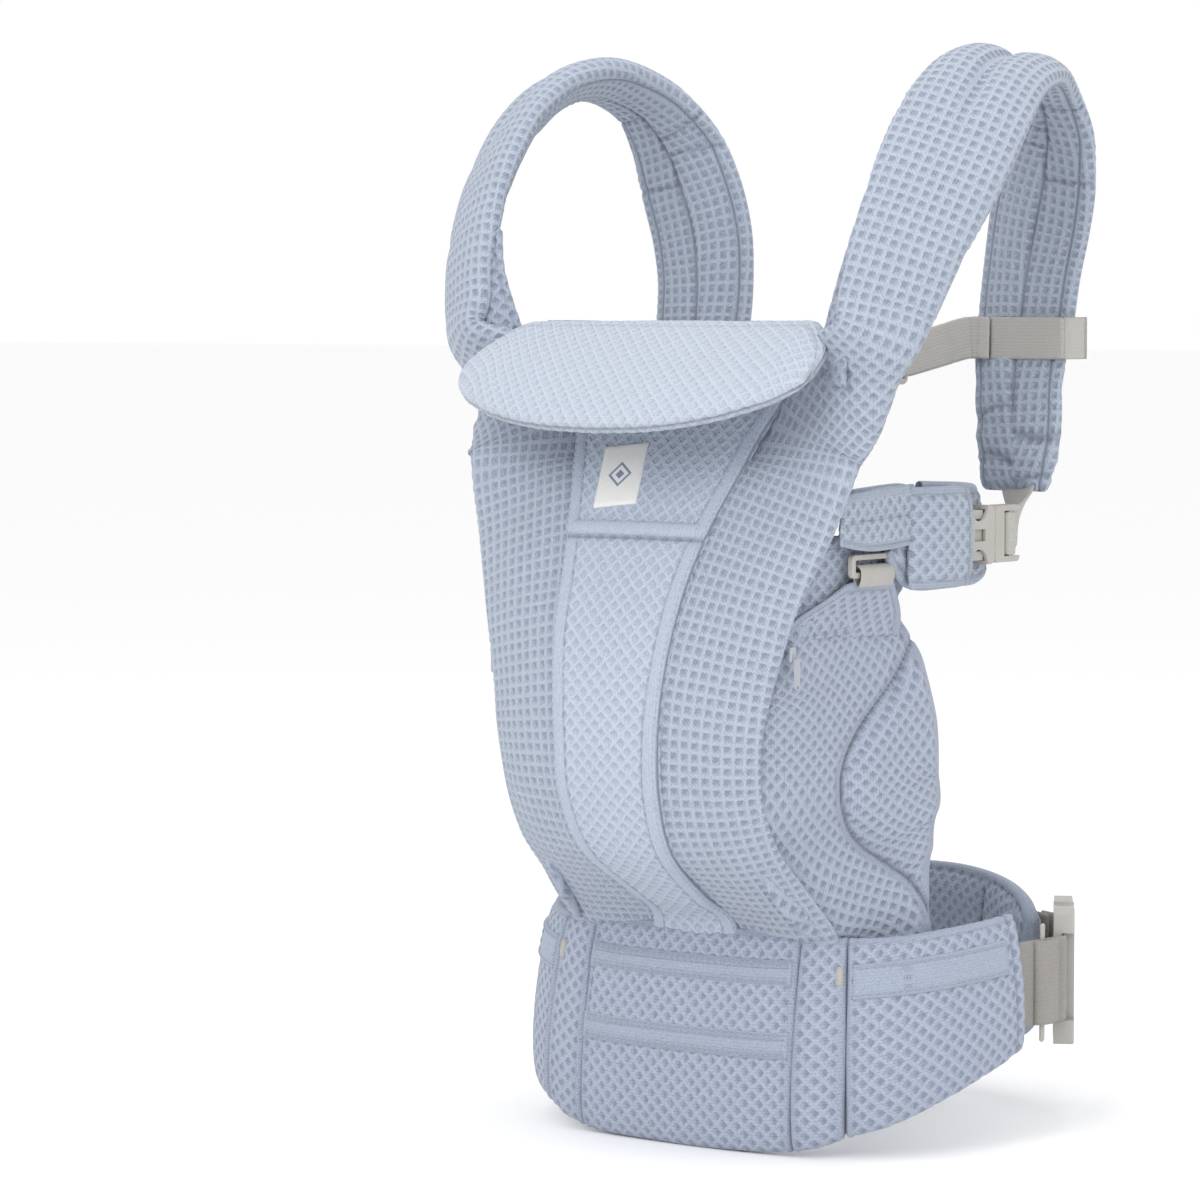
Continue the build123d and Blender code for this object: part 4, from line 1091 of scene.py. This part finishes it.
# chest webbing: a flat ring round the back leg of each strap and its run to the buckle
def ring_points(cx, cy, w, d, r):
    pts = []
    for k, (sx, sy) in enumerate(((1, -1), (1, 1), (-1, 1), (-1, -1))):
        start = -np.pi / 2 + k * np.pi / 2
        for t in np.linspace(start, start + np.pi / 2, 5):
            pts.append((cx + sx * (w / 2 - r) + r * math.cos(t), cy + sy * (d / 2 - r) + r * math.sin(t)))
    return pts


def chest(inner_x, z):
    ring = ring_points(116.2, 92.2, 71 + WEB_THICK, 21.5 + WEB_THICK, 5.8)
    loop = [(100.0, 81.4, z)] + [(x, y, z) for x, y in ring] + [(92.0, 80.2, z)]
    s_ring = ribbon(loop, [DOWN] * len(loop), WEB, WEB_THICK)
    low = CHEST_Z + 3 - CHEST_DROP
    run = [(inner_x, low), (inner_x + 8, low), ((inner_x + 94) / 2, (low + z) / 2), (86, z), (101, z)]
    s_run = ribbon([(x, CHEST_Y, h) for x, h in run], [(0, 0, 1)] * 5, WEB, WEB_THICK)
    for place in (8.0, 12.5, 28.0):
        s_run.seam(s_run.run[-1] - s_run.u - place, 0.9, 0.35, 1.0, 0.6)
    return s_ring, s_run


for side_name, flip, inner_x, high in (("right", False, 34.5, CHEST_Z + 3), ("left", True, 17.5, CHEST_Z - 3)):
    s_ring, s_run = chest(inner_x, high)
    s_ring.plain[:] = 1
    s_run.plain[:] = 1
    s_ring.finish(0)
    s_run.finish(0)
    piece = skin_object(f"chest_web_ring_{side_name}", s_ring, grey_web, flip)
    settle(piece, "chest_strap", [f"chest_webbing_{side_name}"])
    piece = skin_object(f"chest_web_run_{side_name}", s_run, grey_web, flip)
    if side_name == "right":
        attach(piece, "chest_strap")
    else:
        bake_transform(piece)

# ribbed tab under each seat hook
for side_name, flip in SIDES:
    t = ribbon([(120.2, -73, 326), (119.3, -73, 331), (118.4, -73, 335), (121.0, -73, 338.2), (124.3, -73, 336),
                (124.5, -73, 331), (122.8, -73, 326)],
               [(0, -1, 0)] * 7, 34, 1.2, 1.0)
    t.plain[:] = 1
    t.finish(0)
    piece = skin_object(f"hook_tab_{side_name}", t, grey_web, flip)
    settle(piece, "carrier", [f"seat_hook_tab_{side_name}"])

# elastic keepers of the lumbar pad
for side_name, turn in (("right", 66), ("left", 114)):
    a = math.radians(turn)
    out = unit(np.array([math.cos(a) / LOOP[0], math.sin(a) / LOOP[1], 0]))
    tangent = np.array([-out[1], out[0], 0])
    spot = np.array([LOOP[0] * math.cos(a), LOOP[2] + LOOP[1] * math.sin(a), WAIST_WEB_Z])
    path = [(-0.6, 36), (1.5, 32), (6.5, 29.5), (10.6, 24), (11.2, 0), (10.6, -24), (6.5, -29.5), (1.5, -32),
            (-0.6, -36)]
    pts = [spot + out * p + UP * q for p, q in path]
    s = ribbon(pts, [-tangent] * len(pts), 26, 1.3)
    place_web(f"lumbar_keeper_{side_name}", s, "carrier", [f"lumbar_loop_{side_name}"], elastic)

# ---- moulded parts keep their shapes --------------------------------------------------------------
for name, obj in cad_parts.items():
    if obj.hide_render:
        continue
    finish = zip_finish if name.startswith("zip_") else buckle_plastic
    for socket in obj.material_slots:
        socket.material = finish

# ---- setting --------------------------------------------------------------------------------------
FLOOR_HALF, FLOOR_DROP = 40000, 0.35
corners = np.array([(-1, -1, 0), (1, -1, 0), (1, 1, 0), (-1, 1, 0)])
floor = mesh_object("floor", FLOOR_HALF * corners - [0, 0, FLOOR_DROP], [[0, 1, 2, 3]])
floor_finish = Nodes("floor paper")
floor_finish.bump(floor_finish.noise(400.0, 2.0), 0.0001, 0.2)
floor.data.materials.append(floor_finish.set(Base_Color=(0.96, 0.96, 0.965, 1), Roughness=0.9, Specular_IOR_Level=0.1))

world = bpy.data.worlds.new("studio")
world.use_nodes = True
world.node_tree.nodes["Background"].inputs[0].default_value = (1.0, 1.0, 1.0, 1)
world.node_tree.nodes["Background"].inputs[1].default_value = 1.0
bpy.context.scene.world = world
bpy.context.scene.view_settings.view_transform = "Standard"


def area_light(name, place, aim, size, power):
    lamp = bpy.data.lights.new(name, "AREA")
    lamp.energy = power
    lamp.size = size
    obj = bpy.data.objects.new(name, lamp)
    obj.location = place
    obj.rotation_euler = (Vector(aim) - Vector(place)).to_track_quat("-Z", "Y").to_euler()
    bpy.context.scene.collection.objects.link(obj)


area_light("key", (0.45, -2.5, 1.6), (0, 0, 0.3), 1.4, 25)
area_light("top", (0.1, -0.2, 2.4), (0, 0, 0.3), 1.2, 10)
area_light("side", (2.3, -0.9, 1.3), (0, 0, 0.3), 1.2, 9)
